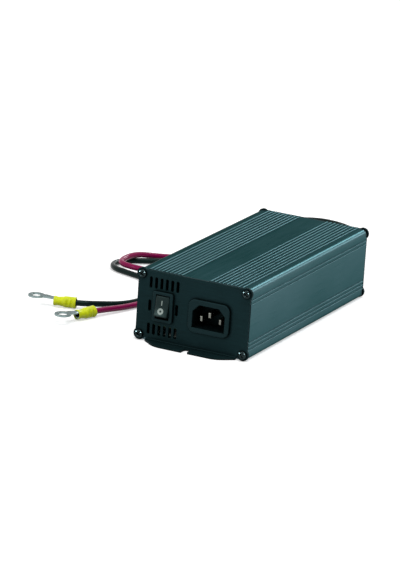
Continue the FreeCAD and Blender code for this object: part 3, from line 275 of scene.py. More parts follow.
# Bright nickel over stamped brass
NICKEL = Finish("Nickel plated brass", "contact_metal", "#74766F", "#62645F", 0.24, metallic=1.0, pitch=0.3,
                grain=Grain.DRAWN, relief=0.003, patch=6.0)
# Electro-tinned copper: satin grey metal with a slight bloom
TIN = Finish("Tinned copper", "tinned_copper", "#90A09F", "#7A8A8A", 0.26, metallic=1.0, tint="#C8C8C8",
             pitch=0.4, relief=0.005, patch=5.0)
# Soft PVC jackets: smooth and slightly waxy
RED_PVC = Finish("Red PVC jacket", "red_jacket", "#980C54", "#840A49", 0.17, specular=0.2, tint="#F0C8DC",
                 pitch=0.8, patch=14.0)
BLACK_PVC = Finish("Black PVC jacket", "black_jacket", "#0A1614", "#0F1D1A", 0.2, specular=0.16,
                   tint="#A8D8D4", pitch=0.8, patch=14.0)
# Thin vinyl sleeve: light goes into it, so its shadows stay yellow
VINYL = Finish("Yellow vinyl sleeve", "yellow_sleeve", "#F0FC1A", "#D4E016", 0.3, specular=0.26, pitch=0.9,
               relief=0.012, patch=5.0, subsurface=0.06)
RUBBER = Finish("Moulded rubber", "bush_rubber", "#101516", "#171D1E", 0.6, specular=0.3, pitch=0.3,
                relief=0.012, patch=10.0)
# Inside the case
LAMINATE = Finish("Glass epoxy laminate", "board_laminate", "#1E5A36", "#27683F", 0.35, relief=0.01,
                  patch=8.0)
FILM = Finish("Polyester sheet", "clear_film", "#C8CEC6", "#B9C0B8", 0.3, relief=0.004, patch=30.0)
LAMP_RESIN = Finish("Tinted epoxy lens", "lamp_resin", "#3FA65A", "#2F9148", 0.15, relief=0.002,
                    patch=2.0, transmission=0.5)
CERAMIC = Finish("Glazed ceramic tube", "ceramic", "#DAD6C8", "#CBC6B6", 0.25, relief=0.004, patch=6.0)
YELLOW_TAPE = Finish("Polyester tape", "film_yellow", "#D8B23C", "#C49E2E", 0.35, relief=0.01, patch=7.0)
FERRITE = Finish("Sintered ferrite", "ferrite", "#2A2C2F", "#36383B", 0.55, relief=0.015, patch=5.0)
ENAMEL = Finish("Enamelled copper wire", "enamelled_wire", "#A4542A", "#8B4220", 0.28, metallic=0.85,
                grain=Grain.ROLLED, relief=0.05, patch=6.0)
CAN_SLEEVE = Finish("Shrunk film on a can", "sleeve_film", "#1C2C44", "#243754", 0.3, relief=0.005,
                    patch=10.0)
SINK = Finish("Mill finish aluminium", "sink_metal", "#B3B8BA", "#9DA3A6", 0.34, metallic=1.0, pitch=0.4,
              grain=Grain.DRAWN, relief=0.005, patch=20.0)
EPOXY = Finish("Transfer moulded epoxy", "epoxy", "#1B1D1F", "#25282A", 0.5, relief=0.01, patch=6.0)
BROWN_WIRE, BLUE_WIRE, GREEN_WIRE = (
    Finish(f"{hue.title()} wire insulation", f"{hue}_wire", base, shade, 0.38, relief=0.006)
    for hue, base, shade in (("brown", "#5A3420", "#4B2A19"), ("blue", "#2F5FA8", "#274F8E"),
                             ("green", "#4C9A3A", "#3F8530")))


# Pieces

def group(name: str) -> Collection:
    """Collection of the pieces that some lamps alone shine on, made when it's first asked for."""
    return bpy.data.collections.get(name) or bpy.data.collections.new(name)


def placed(name: str, data: ID) -> Object:
    """Adds an object to the scene.

    Args:
        name: Its name.
        data: Its mesh, curve, lamp or camera.

    Returns:
        The object.
    """
    thing = bpy.data.objects.new(name, data)
    bpy.context.scene.collection.objects.link(thing)
    return thing


def dressed(name: str, data: ID, finish: Finish, sharp_deg: float = 0.0, node: str = "", body: str = "case"
            ) -> Object:
    """Makes a mesh or curve a finished piece, hangs it on its body and hides the CAD node that it replaces.

    Args:
        name: Piece name.
        data: Mesh or curve in the part's frame.
        finish: Its finish.
        sharp_deg: Edges that turn by more than this stay sharp. At 0 the shading isn't touched.
        node: CAD node whose place it takes, or none.
        body: CAD body that it rides on.

    Returns:
        The piece.
    """
    data.name = name
    data.materials.clear()
    data.materials.append(finish.build())
    if sharp_deg:
        data.shade_smooth()
        data.set_sharp_from_angle(angle=math.radians(sharp_deg))
    piece = placed(name, data)
    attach(piece, body)
    if node:
        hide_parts(node)
    LOG.info("%s: %s", name, finish.name)
    return piece


def strand(name: str, node: str, points: Iterable[Sequence[float]], radius: float, finish: Finish) -> Object:
    """Makes a round cable whose line is a NURBS spline with the route's points as its control points.

    Args:
        name: Piece name.
        node: CAD node whose place it takes.
        points: Control points in millimetres.
        radius: Radius in millimetres.
        finish: Finish of the jacket.

    Returns:
        The cable, riding on the case.
    """
    curve = bpy.data.curves.new(name, "CURVE")
    curve.dimensions = "3D"
    spline = curve.splines.new("NURBS")
    places = [Vector(point) * MM for point in points]
    spline.points.add(len(places) - 1)
    for point, place in zip(spline.points, places):
        point.co = (*place, 1.0)
    spline.order_u = 3
    spline.use_endpoint_u = True
    curve.resolution_u = 10
    curve.bevel_depth = radius * MM
    curve.bevel_resolution = 6
    curve.use_fill_caps = True
    return dressed(name, curve, finish, node=node)


# Meshes

def settled(source: Object) -> Mesh:
    """Evaluates an object's modifiers and removes the object.

    Args:
        source: The object.

    Returns:
        The plain mesh that its modifiers make.
    """
    bpy.context.view_layer.update()
    graph = bpy.context.evaluated_depsgraph_get()
    mesh = bpy.data.meshes.new_from_object(source.evaluated_get(graph))
    bpy.data.objects.remove(source)
    return mesh


def modified(mesh: Mesh, kind: str, **settings) -> Mesh:
    """Runs a modifier over a mesh.

    Args:
        mesh: Mesh to start from.
        kind: The modifier's type.
        **settings: Its properties.

    Returns:
        The plain mesh that comes out.
    """
    source = placed("worked", mesh)
    modifier = source.modifiers.new(kind, kind)
    for key, value in settings.items():
        setattr(modifier, key, value)
    return settled(source)


def softened(mesh: Mesh, width: float, segments: int, angle_deg: float) -> Mesh:
    """Rounds a mesh's edges that turn by more than an angle, by a width in millimetres."""
    return modified(mesh, "BEVEL", width=width * MM, segments=segments, limit_method="ANGLE",
                    angle_limit=math.radians(angle_deg))


def as_mesh(bm: BMesh, mend: bool = True) -> Mesh:
    """Writes a surface to a plain mesh.

    Args:
        bm: The surface, which is freed.
        mend: Whether its doubles are merged and its faces turned outwards first.

    Returns:
        The mesh.
    """
    if mend:
        bmesh.ops.remove_doubles(bm, verts=bm.verts, dist=MERGE)
        bmesh.ops.recalc_face_normals(bm, faces=bm.faces)
    mesh = bpy.data.meshes.new("made")
    bm.to_mesh(mesh)
    bm.free()
    return mesh


def joined(*meshes: Mesh) -> Mesh:
    """Puts meshes together.

    Args:
        *meshes: The meshes.

    Returns:
        All of them as one.
    """
    bm = bmesh.new()
    for mesh in meshes:
        bm.from_mesh(mesh)
    return as_mesh(bm, mend=False)


def skin(rings: Sequence[Sequence[Vector]], wrap: bool = False) -> BMesh:
    """Joins rings of points with faces.

    Args:
        rings: Rings of as many points each, in order.
        wrap: Whether the last ring joins the first; else both ends are capped.

    Returns:
        The closed surface.
    """
    bm = bmesh.new()
    made = [[bm.verts.new(point) for point in ring] for ring in rings]
    pairs = list(zip(made, made[1:]))
    if wrap:
        pairs.append((made[-1], made[0]))
    for first, second in pairs:
        for i in range(len(first)):
            j = (i + 1) % len(first)
            bm.faces.new((first[i], first[j], second[j], second[i]))
    if not wrap:
        bm.faces.new(made[0])
        bm.faces.new(list(reversed(made[-1])))
    return bm


def turned(profile: Sequence[Spot], place: Matrix, segments: int = 40, wrap: bool = False) -> BMesh:
    """Turns a profile about the X axis.

    Args:
        profile: Places along the axis and radii, in millimetres.
        place: Where the axis goes.
        segments: Points round the axis.
        wrap: Whether the profile closes on itself round a bore.

    Returns:
        The closed surface.
    """
    rings = [[place @ Vector((along * MM, radius * MM * math.cos(a), radius * MM * math.sin(a)))
              for a in round_angles(segments)] for along, radius in profile]
    return skin(rings, wrap)


def extruded(loops: Sequence[Sequence[Spot]], low: float, high: float) -> BMesh:
    """Extrudes a flat section with holes along +Y.

    Args:
        loops: The outline and then the holes, as X and Z in millimetres.
        low: First place along Y, in millimetres.
        high: Last place along Y, in millimetres.

    Returns:
        The closed surface.
    """
    bm = bmesh.new()
    caps: tuple[list, list] = ([], [])
    for loop in loops:
        near, far = [[bm.verts.new((x * MM, y * MM, z * MM)) for x, z in loop] for y in (low, high)]
        steps = [(i, (i + 1) % len(loop)) for i in range(len(loop))]
        for i, j in steps:
            bm.faces.new((near[i], near[j], far[j], far[i]))
        for cap, end in zip(caps, (near, far)):
            cap += [bm.edges.get((end[i], end[j])) for i, j in steps]
    for edges in caps:
        bmesh.ops.triangle_fill(bm, use_beauty=True, use_dissolve=False, edges=edges)
    return bm


class Growth:
    """A geometry tree with named inputs, run once and kept as a plain mesh."""

    def __init__(self, name: str) -> None:
        """Starts an empty tree.

        Args:
            name: The tree's name.
        """
        self.tree = bpy.data.node_groups.new(name, "GeometryNodeTree")
        self.tree.interface.new_socket("Geometry", in_out="OUTPUT", socket_type="NodeSocketGeometry")
        self.entry = self.tree.nodes.new("NodeGroupInput")
        self.values: dict[str, object] = {}

    def given(self, **values) -> list[NodeSocket]:
        """Adds named inputs.

        Args:
            **values: Their names and values.

        Returns:
            The sockets that carry them in the tree.
        """
        for name, value in values.items():
            kind = f"NodeSocket{SOCKET_KINDS[type(value)]}"
            item = self.tree.interface.new_socket(name, in_out="INPUT", socket_type=kind)
            self.values[item.identifier] = value
        return [self.entry.outputs[name] for name in values]

    def add(self, kind: str, inputs: dict | None = None, out: int | str = 0, **settings) -> NodeSocket:
        """Adds a node to the tree and gives one of its outputs."""
        return socket(self.tree, kind, inputs, out, **settings)

    def row(self, count: NodeSocket, start: object, step: object) -> NodeSocket:
        """Adds a row of points, with the first one's place and the way to the next."""
        return self.add("MeshLine", {"Count": count, "Start Location": start, "Offset": step}, mode="OFFSET")

    def grow(self, geometry: NodeSocket, finish: Finish) -> Mesh:
        """Ends the tree, runs it and keeps the result.

        Args:
            geometry: Socket of the finished geometry.
            finish: Finish of what grows.

        Returns:
            The plain mesh.
        """
        material = self.given(finish=finish.build())[0]
        solid = self.add("RealizeInstances", {"Geometry": geometry})
        coated = self.add("SetMaterial", {"Geometry": solid, "Material": material})
        add_node(self.tree, "NodeGroupOutput", {"Geometry": coated})
        source = placed("growing", bpy.data.meshes.new("growing"))
        modifier = source.modifiers.new("Growth", "NODES")
        modifier.node_group = self.tree
        for identifier, value in self.values.items():
            modifier[identifier] = value
        return settled(source)


# Housing

@dataclass
class Housing:
    """Extruded tube with rounded corners, side grooves, screw channels and board rails, and its ribs."""

    half_width: float = 42.0
    half_length: float = 92.5
    base: float = 0.3
    skin_top: float = 49.7
    wall: float = 1.8
    round: float = 3.2
    round_steps: int = 9
    groove_half: float = 0.45
    groove_depth: float = 0.5
    groove_lip: float = 0.28
    lip_steps: int = 4
    groove_sill: float = 0.48
    sill_steps: int = 6
    screw_across: float = 38.8
    screw_low: float = 4.2
    screw_high: float = 46.4
    channel: float = 3.2
    channel_steps: tuple[int, int] = (6, 8)
    bore: float = 1.3
    bore_steps: int = 16
    slit_half: float = 0.7
    rail_reach: float = 37.7
    rib_first: float = 10.8
    rib_pitch: float = 2.95
    rib_count: int = 9
    rib_width: float = 1.5
    rib_rise: float = 0.6
    rib_sink: float = 0.9
    rib_crest: float = 0.5
    crest_steps: int = 5
    groove_heights: tuple[float, ...] = (7.7, 10.4, 13.1, 39.8, 42.5)
    rails: tuple[float, ...] = (8.3, 9.5, 11.3, 12.5)

    def right_side(self) -> list[Spot]:
        """Works out the outer outline of the right half.

        Returns:
            Points from the floor's middle to the top's middle.
        """
        x, r, lip, sill = self.half_width, self.round, self.groove_lip, self.groove_sill
        points = [(0.0, self.base)] + arc(x - r, self.base + r, r, -90, 0, self.round_steps)
        for height in self.groove_heights:
            low, high = height - self.groove_half, height + self.groove_half
            points += arc(x - sill, low - sill, sill, 0, 90, self.sill_steps)
            points += [(x - self.groove_depth, low), (x - self.groove_depth, high)]
            points += arc(x - lip, high + lip, lip, -90, 0, self.lip_steps)
        return points + arc(x - r, self.skin_top - r, r, 0, 90, self.round_steps)

    def channel_path(self, height: float) -> list[Spot]:
        """Works out the outline of one screw channel.

        Args:
            height: Height of its bore.

        Returns:
            Points from the floor round the bore to the side wall.
        """
        x, r = self.screw_across, self.channel
        floor, side = self.base + self.wall, self.half_width - self.wall
        start = math.degrees(math.asin((floor - height) / r))
        slit_out = math.degrees(math.asin(self.slit_half / r))
        slit_in = math.degrees(math.asin(self.slit_half / self.bore))
        stop = math.degrees(math.acos((side - x) / r))
        below, beside = self.channel_steps
        return (arc(x, height, r, -180 - start, -180 + slit_out, below)
                + arc(x, height, self.bore, -180 + slit_in, 180 - slit_in, self.bore_steps)
                + arc(x, height, r, 180 - slit_out, stop, beside))

    def inner_side(self) -> list[Spot]:
        """Works out the inner outline of the right half.

        Returns:
            Points from the floor's middle to the top's middle.
        """
        floor, top = self.base + self.wall, self.skin_top - self.wall
        side = self.half_width - self.wall
        low = self.channel_path(self.screw_low)
        middle = (self.screw_low + self.screw_high) / 2
        high = [(x, 2 * middle - z) for x, z in reversed(low)]
        # The top wall is lower than the channel's mirror image, so the last point moves to it
        high[-1] = (high[-1][0], top)
        rails = []
        for i, level in enumerate(self.rails):
            edge = [(side, level), (self.rail_reach, level)]
            rails += edge[::-1] if i % 2 else edge
        return [(0.0, floor)] + low + rails + high + [(0.0, top)]

    def build(self) -> None:
        """Makes the extrusion and its ribs."""
        loops = []
        for half in (self.right_side(), self.inner_side()):
            left = [(-x, z) for x, z in reversed(half) if x > 0]
            loops.append(half + left)
        tube = as_mesh(extruded(loops, -self.half_length, self.half_length))
        dressed("housing_extrusion", tube, ANODISED, 24.0, "housing_shell")
        for side, word in ((-1, "left"), (1, "right")):
            dressed(f"cooling_ribs_{word}", self.ribs(side), ANODISED, 50.0)

    def ribs(self, side: int) -> Mesh:
        """Grows one row of ribs with rounded crests.

        Args:
            side: -1 for the left row, 1 for the right one.

        Returns:
            The row's mesh.
        """
        growth = Growth("Rib row")
        count, width, tall, crest = growth.given(
            count=self.rib_count, width=self.rib_width * MM, height=(self.rib_rise + self.rib_sink) * MM,
            crest=self.rib_crest * MM)
        level = self.skin_top + (self.rib_rise - self.rib_sink) / 2
        first, pitch = self.rib_first * side * MM, self.rib_pitch * side * MM
        row = growth.row(count, (first, 0.0, level * MM), (pitch, 0.0, 0.0))
        half = self.half_length * MM
        run = growth.add("CurvePrimitiveLine", {"Start": (0.0, -half, 0.0), "End": (0.0, half, 0.0)})
        box = growth.add("CurvePrimitiveQuadrilateral", {"Width": width, "Height": tall})
        soft = growth.add("FilletCurve",
                          {"Curve": box, "Count": self.crest_steps, "Radius": crest}, mode="POLY")
        bar = growth.add("CurveToMesh", {"Curve": run, "Profile Curve": soft, "Fill Caps": True})
        ribs = growth.add("InstanceOnPoints", {"Points": row, "Instance": bar})
        return growth.grow(ribs, ANODISED)


# Screws

@dataclass
class PanScrew:
    """Pan head screw with a cross recess, its head towards -Y and its seat at the origin.

    The drop and the depth are shares of the head's thickness, and the flat, hub, arm and web of its radius.
    """

    head: float
    thick: float
    shank: float
    long: float
    drop: float = 0.62
    flat: float = 0.45
    hub: float = 0.2
    rim: float = 0.12
    taper: float = 0.8
    point: float = 0.3
    axis: float = 0.0001
    segments: int = 36
    depth: float = 0.75
    arm: float = 0.55
    web: float = 0.14
    over: float = 0.3
    mouth: float = 1.3
    bottom: float = 0.35
    web_kept: float = 0.7

    def mesh(self) -> Mesh:
        """Turns the screw and cuts its recess.

        Returns:
            The screw's mesh.
        """
        r, t = self.head, self.thick
        crown = [(-t + t * self.drop * (1 - math.cos(a)), r * self.flat + r * (1 - self.flat) * math.sin(a))
                 for a in (math.pi / 2 * i / 8 for i in range(9))]
        profile = [(-t, self.axis), (-t, r * self.hub), *crown, (-self.rim, r), (0.0, r - self.rim),
                   (0.0, self.shank), (self.long - self.taper, self.shank), (self.long, self.point),
                   (self.long, self.axis)]
        body = as_mesh(turned(profile, Matrix.Rotation(math.pi / 2, 4, "Z"), self.segments))
        cutter = placed("recess", joined(self.recess(False), self.recess(True)))
        cut = modified(body, "BOOLEAN", object=cutter, operation="DIFFERENCE", solver="EXACT", use_self=True)
        bpy.data.objects.remove(cutter)
        return cut

    def recess(self, upright: bool) -> Mesh:
        """Makes one arm of the recess, which narrows with its depth.

        Args:
            upright: Whether the arm runs up the head, and not across it.

        Returns:
            The block to cut away.
        """
        r, t = self.head, self.thick
        rings = []
        for y, share in ((-t - self.over, self.mouth), (-t + t * self.depth, self.bottom)):
            u, w = r * self.arm * share, r * self.web * between(self.web_kept, 1.0, share)
            if upright:
                u, w = w, u
            rings.append([Vector((a * u * MM, y * MM, b * w * MM))
                          for a, b in ((-1, -1), (1, -1), (1, 1), (-1, 1))])
        return as_mesh(skin(rings))


@dataclass
class ScrewSet:
    """Four screws at the corners of a rectangle on one plate, whose seat is its outer face along Y."""

    name: str
    node: str
    screw: PanScrew
    seat: float
    seed: int
    centre: Spot = (0.0, 25.3)
    half: Spot = (38.8, 21.1)

    def build(self) -> None:
        """Grows the four screws, each with its own turn."""
        pattern = bpy.data.objects.new("screw", self.screw.mesh())
        growth = Growth("Screw set")
        width, height = (side * 2 * MM for side in self.half)
        screw, wide, tall, seed = growth.given(screw=pattern, width=width, height=height, seed=self.seed)
        grid = growth.add("MeshGrid", {"Size X": wide, "Size Y": tall, "Vertices X": 2, "Vertices Y": 2})
        x, z = self.centre
        upright = growth.add("Transform", {"Geometry": grid, "Translation": (x * MM, self.seat * MM, z * MM),
                                           "Rotation": (math.pi / 2, 0, 0)})
        facing = math.pi if self.seat > 0 else 0.0
        turn = growth.add("FunctionNodeRandomValue",
                          {0: (0.0, 0.0, facing), 1: (0.0, math.pi / 2, facing), 8: seed},
                          data_type="FLOAT_VECTOR")
        shape = growth.add("ObjectInfo", {"Object": screw, "As Instance": True}, "Geometry",
                           transform_space="ORIGINAL")
        four = growth.add("InstanceOnPoints", {"Points": upright, "Instance": shape, "Rotation": turn})
        piece = dressed(self.name, growth.grow(four, BLACK_ZINC), BLACK_ZINC, 32.0, self.node)
        group(SCREWS).objects.link(piece)
        bpy.data.objects.remove(pattern)


# Switch

@dataclass
class Rocker:
    """Rocker with a hollowed face, and its raised ON and OFF marks."""

    hinge: Place = (-21.8, -93.0, 26.0)
    tilt_deg: float = -12.0
    half_width: float = 4.9
    dip: float = 4.1
    hollow: float = 0.8
    half: float = 7.0
    face_steps: int = 14
    back: float = 2.4
    foot: float = 7.95
    soft: float = 0.75
    stub: float = 5.9
    pivot: float = 1.2
    ink: float = 0.06
    ink_root: float = 0.05
    off_spot: Spot = (-0.25, -3.3)
    off_radii: Spot = (0.8, 2.15)
    on_across: float = -0.1
    on_heights: Spot = (0.75, 4.05)
    on_half: float = 0.34

    def place(self) -> Matrix:
        """Where the rocker sits at rest, tipped in at the top."""
        tilt = Matrix.Rotation(math.radians(self.tilt_deg), 4, "X")
        return Matrix.Translation(Vector(self.hinge) * MM) @ tilt

    def face(self, z: float) -> float:
        """Depth of the hollowed face at a height, both from the hinge in millimetres."""
        radius = (self.half ** 2 + self.hollow ** 2) / (2 * self.hollow)
        return -self.dip - (radius - math.sqrt(radius ** 2 - z ** 2))

    def build(self) -> None:
        """Makes the rocker and its marks."""
        heights = [-self.half + self.half * 2 * i / self.face_steps for i in range(self.face_steps + 1)]
        outline = [(self.face(z), z) for z in heights] + [(self.back, self.foot), (self.back, -self.foot)]
        rings = [[Vector((x * MM, y * MM, z * MM)) for y, z in outline]
                 for x in (-self.half_width, self.half_width)]
        stubs = turned([(-self.stub, self.pivot), (self.stub, self.pivot)], Matrix(), 24)
        mesh = joined(as_mesh(stubs), softened(as_mesh(skin(rings)), self.soft, 4, 35))
        mesh.transform(self.place())
        dressed("rocker_cap", mesh, ROCKER_RESIN, 40.0, "switch_rocker", "rocker")
        for name, sections in (("off_mark", self.ring()), ("on_mark", self.bar())):
            mark = as_mesh(skin(sections, wrap=True))
            mark.transform(self.place())
            dressed(name, mark, MARK_INK, 30.0, body="rocker")

    def section(self, inner: Spot, outer: Spot) -> list[Vector]:
        """Four points of a thin raised line between two spots of the face."""
        spots = [(*inner, self.ink_root), (*inner, -self.ink), (*outer, -self.ink), (*outer, self.ink_root)]
        return [Vector((x, self.face(z) + out, z)) * MM for x, z, out in spots]

    def ring(self) -> list[list[Vector]]:
        """Sections of the OFF mark, a ring."""
        loops = [arc(*self.off_spot, radius, 0, 350, 35) for radius in self.off_radii]
        return [self.section(inner, outer) for inner, outer in zip(*loops)]

    def bar(self) -> list[list[Vector]]:
        """Works out the ON mark, an upright bar with round ends.

        Returns:
            Its sections, as of a ring whose hole has no width.
        """
        x, half = self.on_across, self.on_half
        low, high = self.on_heights[0] + half, self.on_heights[1] - half
        edge = arc(x, high, half, 0, 180, 8) + arc(x, low, half, 180, 360, 8)
        return [self.section((x, min(max(v, low), high)), (u, v)) for u, v in edge]


# Leads

@dataclass
class OutputLead:
    """One output lead: its jacket as it lies, its crimp sleeve and its ring terminal."""

    pole: str
    heading_deg: float
    spot: Spot
    route: tuple[Place, ...]
    length: float
    finish: Finish
    sleeve_z: float = 4.1
    diameter: float = 4.2
    straight: float = 2.5
    crimp: float = 10.0

    def place(self) -> Matrix:
        """Where the sleeve's rear end is and how it heads."""
        rear = Vector((EXIT_ACROSS[self.pole] + self.spot[0], EXIT_Y + self.spot[1], self.sleeve_z))
        return Matrix.Translation(rear * MM) @ Matrix.Rotation(math.radians(self.heading_deg), 4, "Z")

    def points(self) -> list[Vector]:
        """Works out the lead's line.

        Returns:
            Control points from the bush to the crimp, in millimetres.
        """
        x = EXIT_ACROSS[self.pole]
        middle = [Vector((x + u, EXIT_Y + v, w)) for u, v, w in self.route]
        ends = [self.place() @ Vector((u * MM, 0, 0)) / MM for u in (-self.straight, self.crimp)]
        return [Vector((x, EXIT_Y, EXIT_Z)), *middle, *ends]

    def build(self) -> None:
        radius = self.diameter / 2
        jacket = strand(f"{self.pole}_cable", f"{self.pole}_lead", self.points(), radius, self.finish)
        sleeve = CrimpSleeve(self.pole, self.place()).build()
        ring = RingTerminal(self.pole, self.place()).build()


@dataclass
class CrimpSleeve:
    """Vinyl sleeve of a ring terminal, wide over the jacket and pressed in twice by the crimp tool."""

    pole: str
    place: Matrix
    start: float = 0.6
    long: float = 15.6
    rear_radius: float = 4.1
    front_radius: float = 3.4
    bore: float = 3.05
    bore_lip: float = 0.2
    segments: int = 40
    stations: int = 58
    lip: float = 0.3
    rear_lip: tuple[Spot, ...] = ((0.0, -0.25), (0.1, -0.08), (0.3, 0.0))
    front_lip: tuple[Spot, ...] = ((-0.1, -0.08), (0.0, -0.2))
    flare: float = 0.22
    flare_long: float = 1.1
    shoulder: float = 8.5
    shoulder_long: float = 1.3
    barrel_press: float = 0.38
    barrel_at: float = 12.9
    barrel_long: float = 1.7
    die_press: float = 0.85
    dies: Spot = (3.4, 6.3)
    die_long: float = 0.75
    die_from: float = 0.55

    def radius(self, along: float) -> float:
        """Outer radius at a place along the sleeve before the crimp, in millimetres."""
        share = ease(min(1.0, max(0.0, (along - self.shoulder) / self.shoulder_long)))
        return (between(self.rear_radius - self.flare, self.front_radius, share)
                + self.flare * math.exp(-((along - self.start) / self.flare_long) ** 2))

    def pressed(self, along: float, angle: float) -> float:
        """Works out how much the crimp tool took off the radius.

        Args:
            along: Place along the sleeve, in millimetres.
            angle: Angle round it, from its top.

        Returns:
            The loss in millimetres.
        """
        top = math.exp(-((along - self.barrel_at) / self.barrel_long) ** 4) * math.cos(angle) ** 2
        side = max(0.0, abs(math.sin(angle)) - self.die_from) / (1 - self.die_from)
        dies = sum(math.exp(-((along - die) / self.die_long) ** 4) for die in self.dies)
        return self.barrel_press * top + self.die_press * dies * ease(side)

    def build(self) -> Object:
        """Makes the sleeve.

        Returns:
            The piece.
        """
        angles = round_angles(self.segments)
        low, high = self.start, self.start + self.long
        span = self.long - 2 * self.lip
        stops = [(low + u, trim) for u, trim in self.rear_lip]
        stops += [(low + self.lip + span * i / self.stations, 0.0) for i in range(1, self.stations + 1)]
        stops += [(high + u, trim) for u, trim in self.front_lip]
        reaches = [(u, [self.radius(u) + trim - self.pressed(u, a) for a in angles]) for u, trim in stops]
        reaches += [(u, [self.bore] * self.segments)
                    for u in (high, high - self.bore_lip, low + self.bore_lip, low)]
        rings = [[self.place @ (Vector((u, r * math.sin(a), r * math.cos(a))) * MM)
                  for r, a in zip(reach, angles)] for u, reach in reaches]
        mesh = as_mesh(skin(rings, wrap=True))
        return dressed(f"{self.pole}_sleeve", mesh, VINYL, 60.0, f"{self.pole}_terminal_sleeve")


@dataclass
class RingTerminal:
    """Stamped ring with its pressed neck and the barrel in the sleeve."""

    pole: str
    place: Matrix
    barrel: float = 3.0
    bore: float = 2.15
    barrel_span: Spot = (8.0, 15.4)
    neck_from: float = 13.8
    neck_half: float = 2.2
    neck_thick: float = 0.8
    neck_lap: float = 0.8
    neck_steps: int = 14
    neck_columns: int = 12
    inset: float = 0.01
    flat_from: float = 21.6
    thick: float = 1.2
    soft: float = 0.22
    half_width: float = 2.8
    ring_reach: float = 28.7
    ring_radius: float = 5.8
    hole: float = 3.2

    def neck(self) -> BMesh:
        """Makes the top of the barrel, which opens out and flattens to the tongue.

        Returns:
            The closed surface, which sits a hair inside both.
        """
        rings = []
        for step in range(self.neck_steps + 1):
            share = step / self.neck_steps
            part = ease(share)
            along = between(self.neck_from, self.flat_from + self.neck_lap, share)
            half = between(self.neck_half, self.half_width - 2 * self.inset, part)
            thick = between(self.neck_thick, self.thick, part)
            bend = (1 - part) / self.barrel
            across = [half * (2 * i / self.neck_columns - 1) for i in range(self.neck_columns + 1)]
            upper = [(y, self.barrel - self.inset - self.sag(bend, y)) for y in across]
            lower = [(y, z - thick + 2 * self.inset) for y, z in upper]
            rings.append([self.place @ (Vector((along, y, z)) * MM) for y, z in upper + lower[::-1]])
        return skin(rings)

    @staticmethod
    def sag(bend: float, across: float) -> float:
        """How far an arch of this curvature has dropped at a place across it."""
        return 1 / bend - math.sqrt(max(0.0, 1 / bend ** 2 - across ** 2)) if bend > 0 else 0.0

    def plate(self) -> Mesh:
        """Makes the flat tongue and ring.

        Returns:
            Its mesh, with softened edges.
        """
        meet = math.degrees(math.asin(self.half_width / self.ring_radius))
        rim = arc(self.ring_reach, 0.0, self.ring_radius, 180 - meet, -180 + meet, 40)
        outline = [(self.flat_from, -self.half_width), (self.flat_from, self.half_width)] + rim
        hole = arc(self.ring_reach, 0.0, self.hole, 0, 351, 39)
        bm = extruded([outline, hole], self.barrel - self.thick, self.barrel)
        laid_flat = Matrix(((1, 0, 0, 0), (0, 0, 1, 0), (0, 1, 0, 0), (0, 0, 0, 1)))
        bmesh.ops.transform(bm, matrix=self.place @ laid_flat, verts=bm.verts)
        return softened(as_mesh(bm), self.soft, 2, 50)

    def build(self) -> Object:
        """Makes the terminal.

        Returns:
            The piece.
        """
        rear, front = self.barrel_span
        profile = ((rear, self.bore), (rear, self.barrel), (front, self.barrel), (front, self.bore))
        tube = as_mesh(turned(profile, self.place, 32, wrap=True))
        mesh = joined(as_mesh(self.neck()), tube, self.plate())
        return dressed(f"{self.pole}_ring", mesh, TIN, 45.0, f"{self.pole}_ring_terminal")


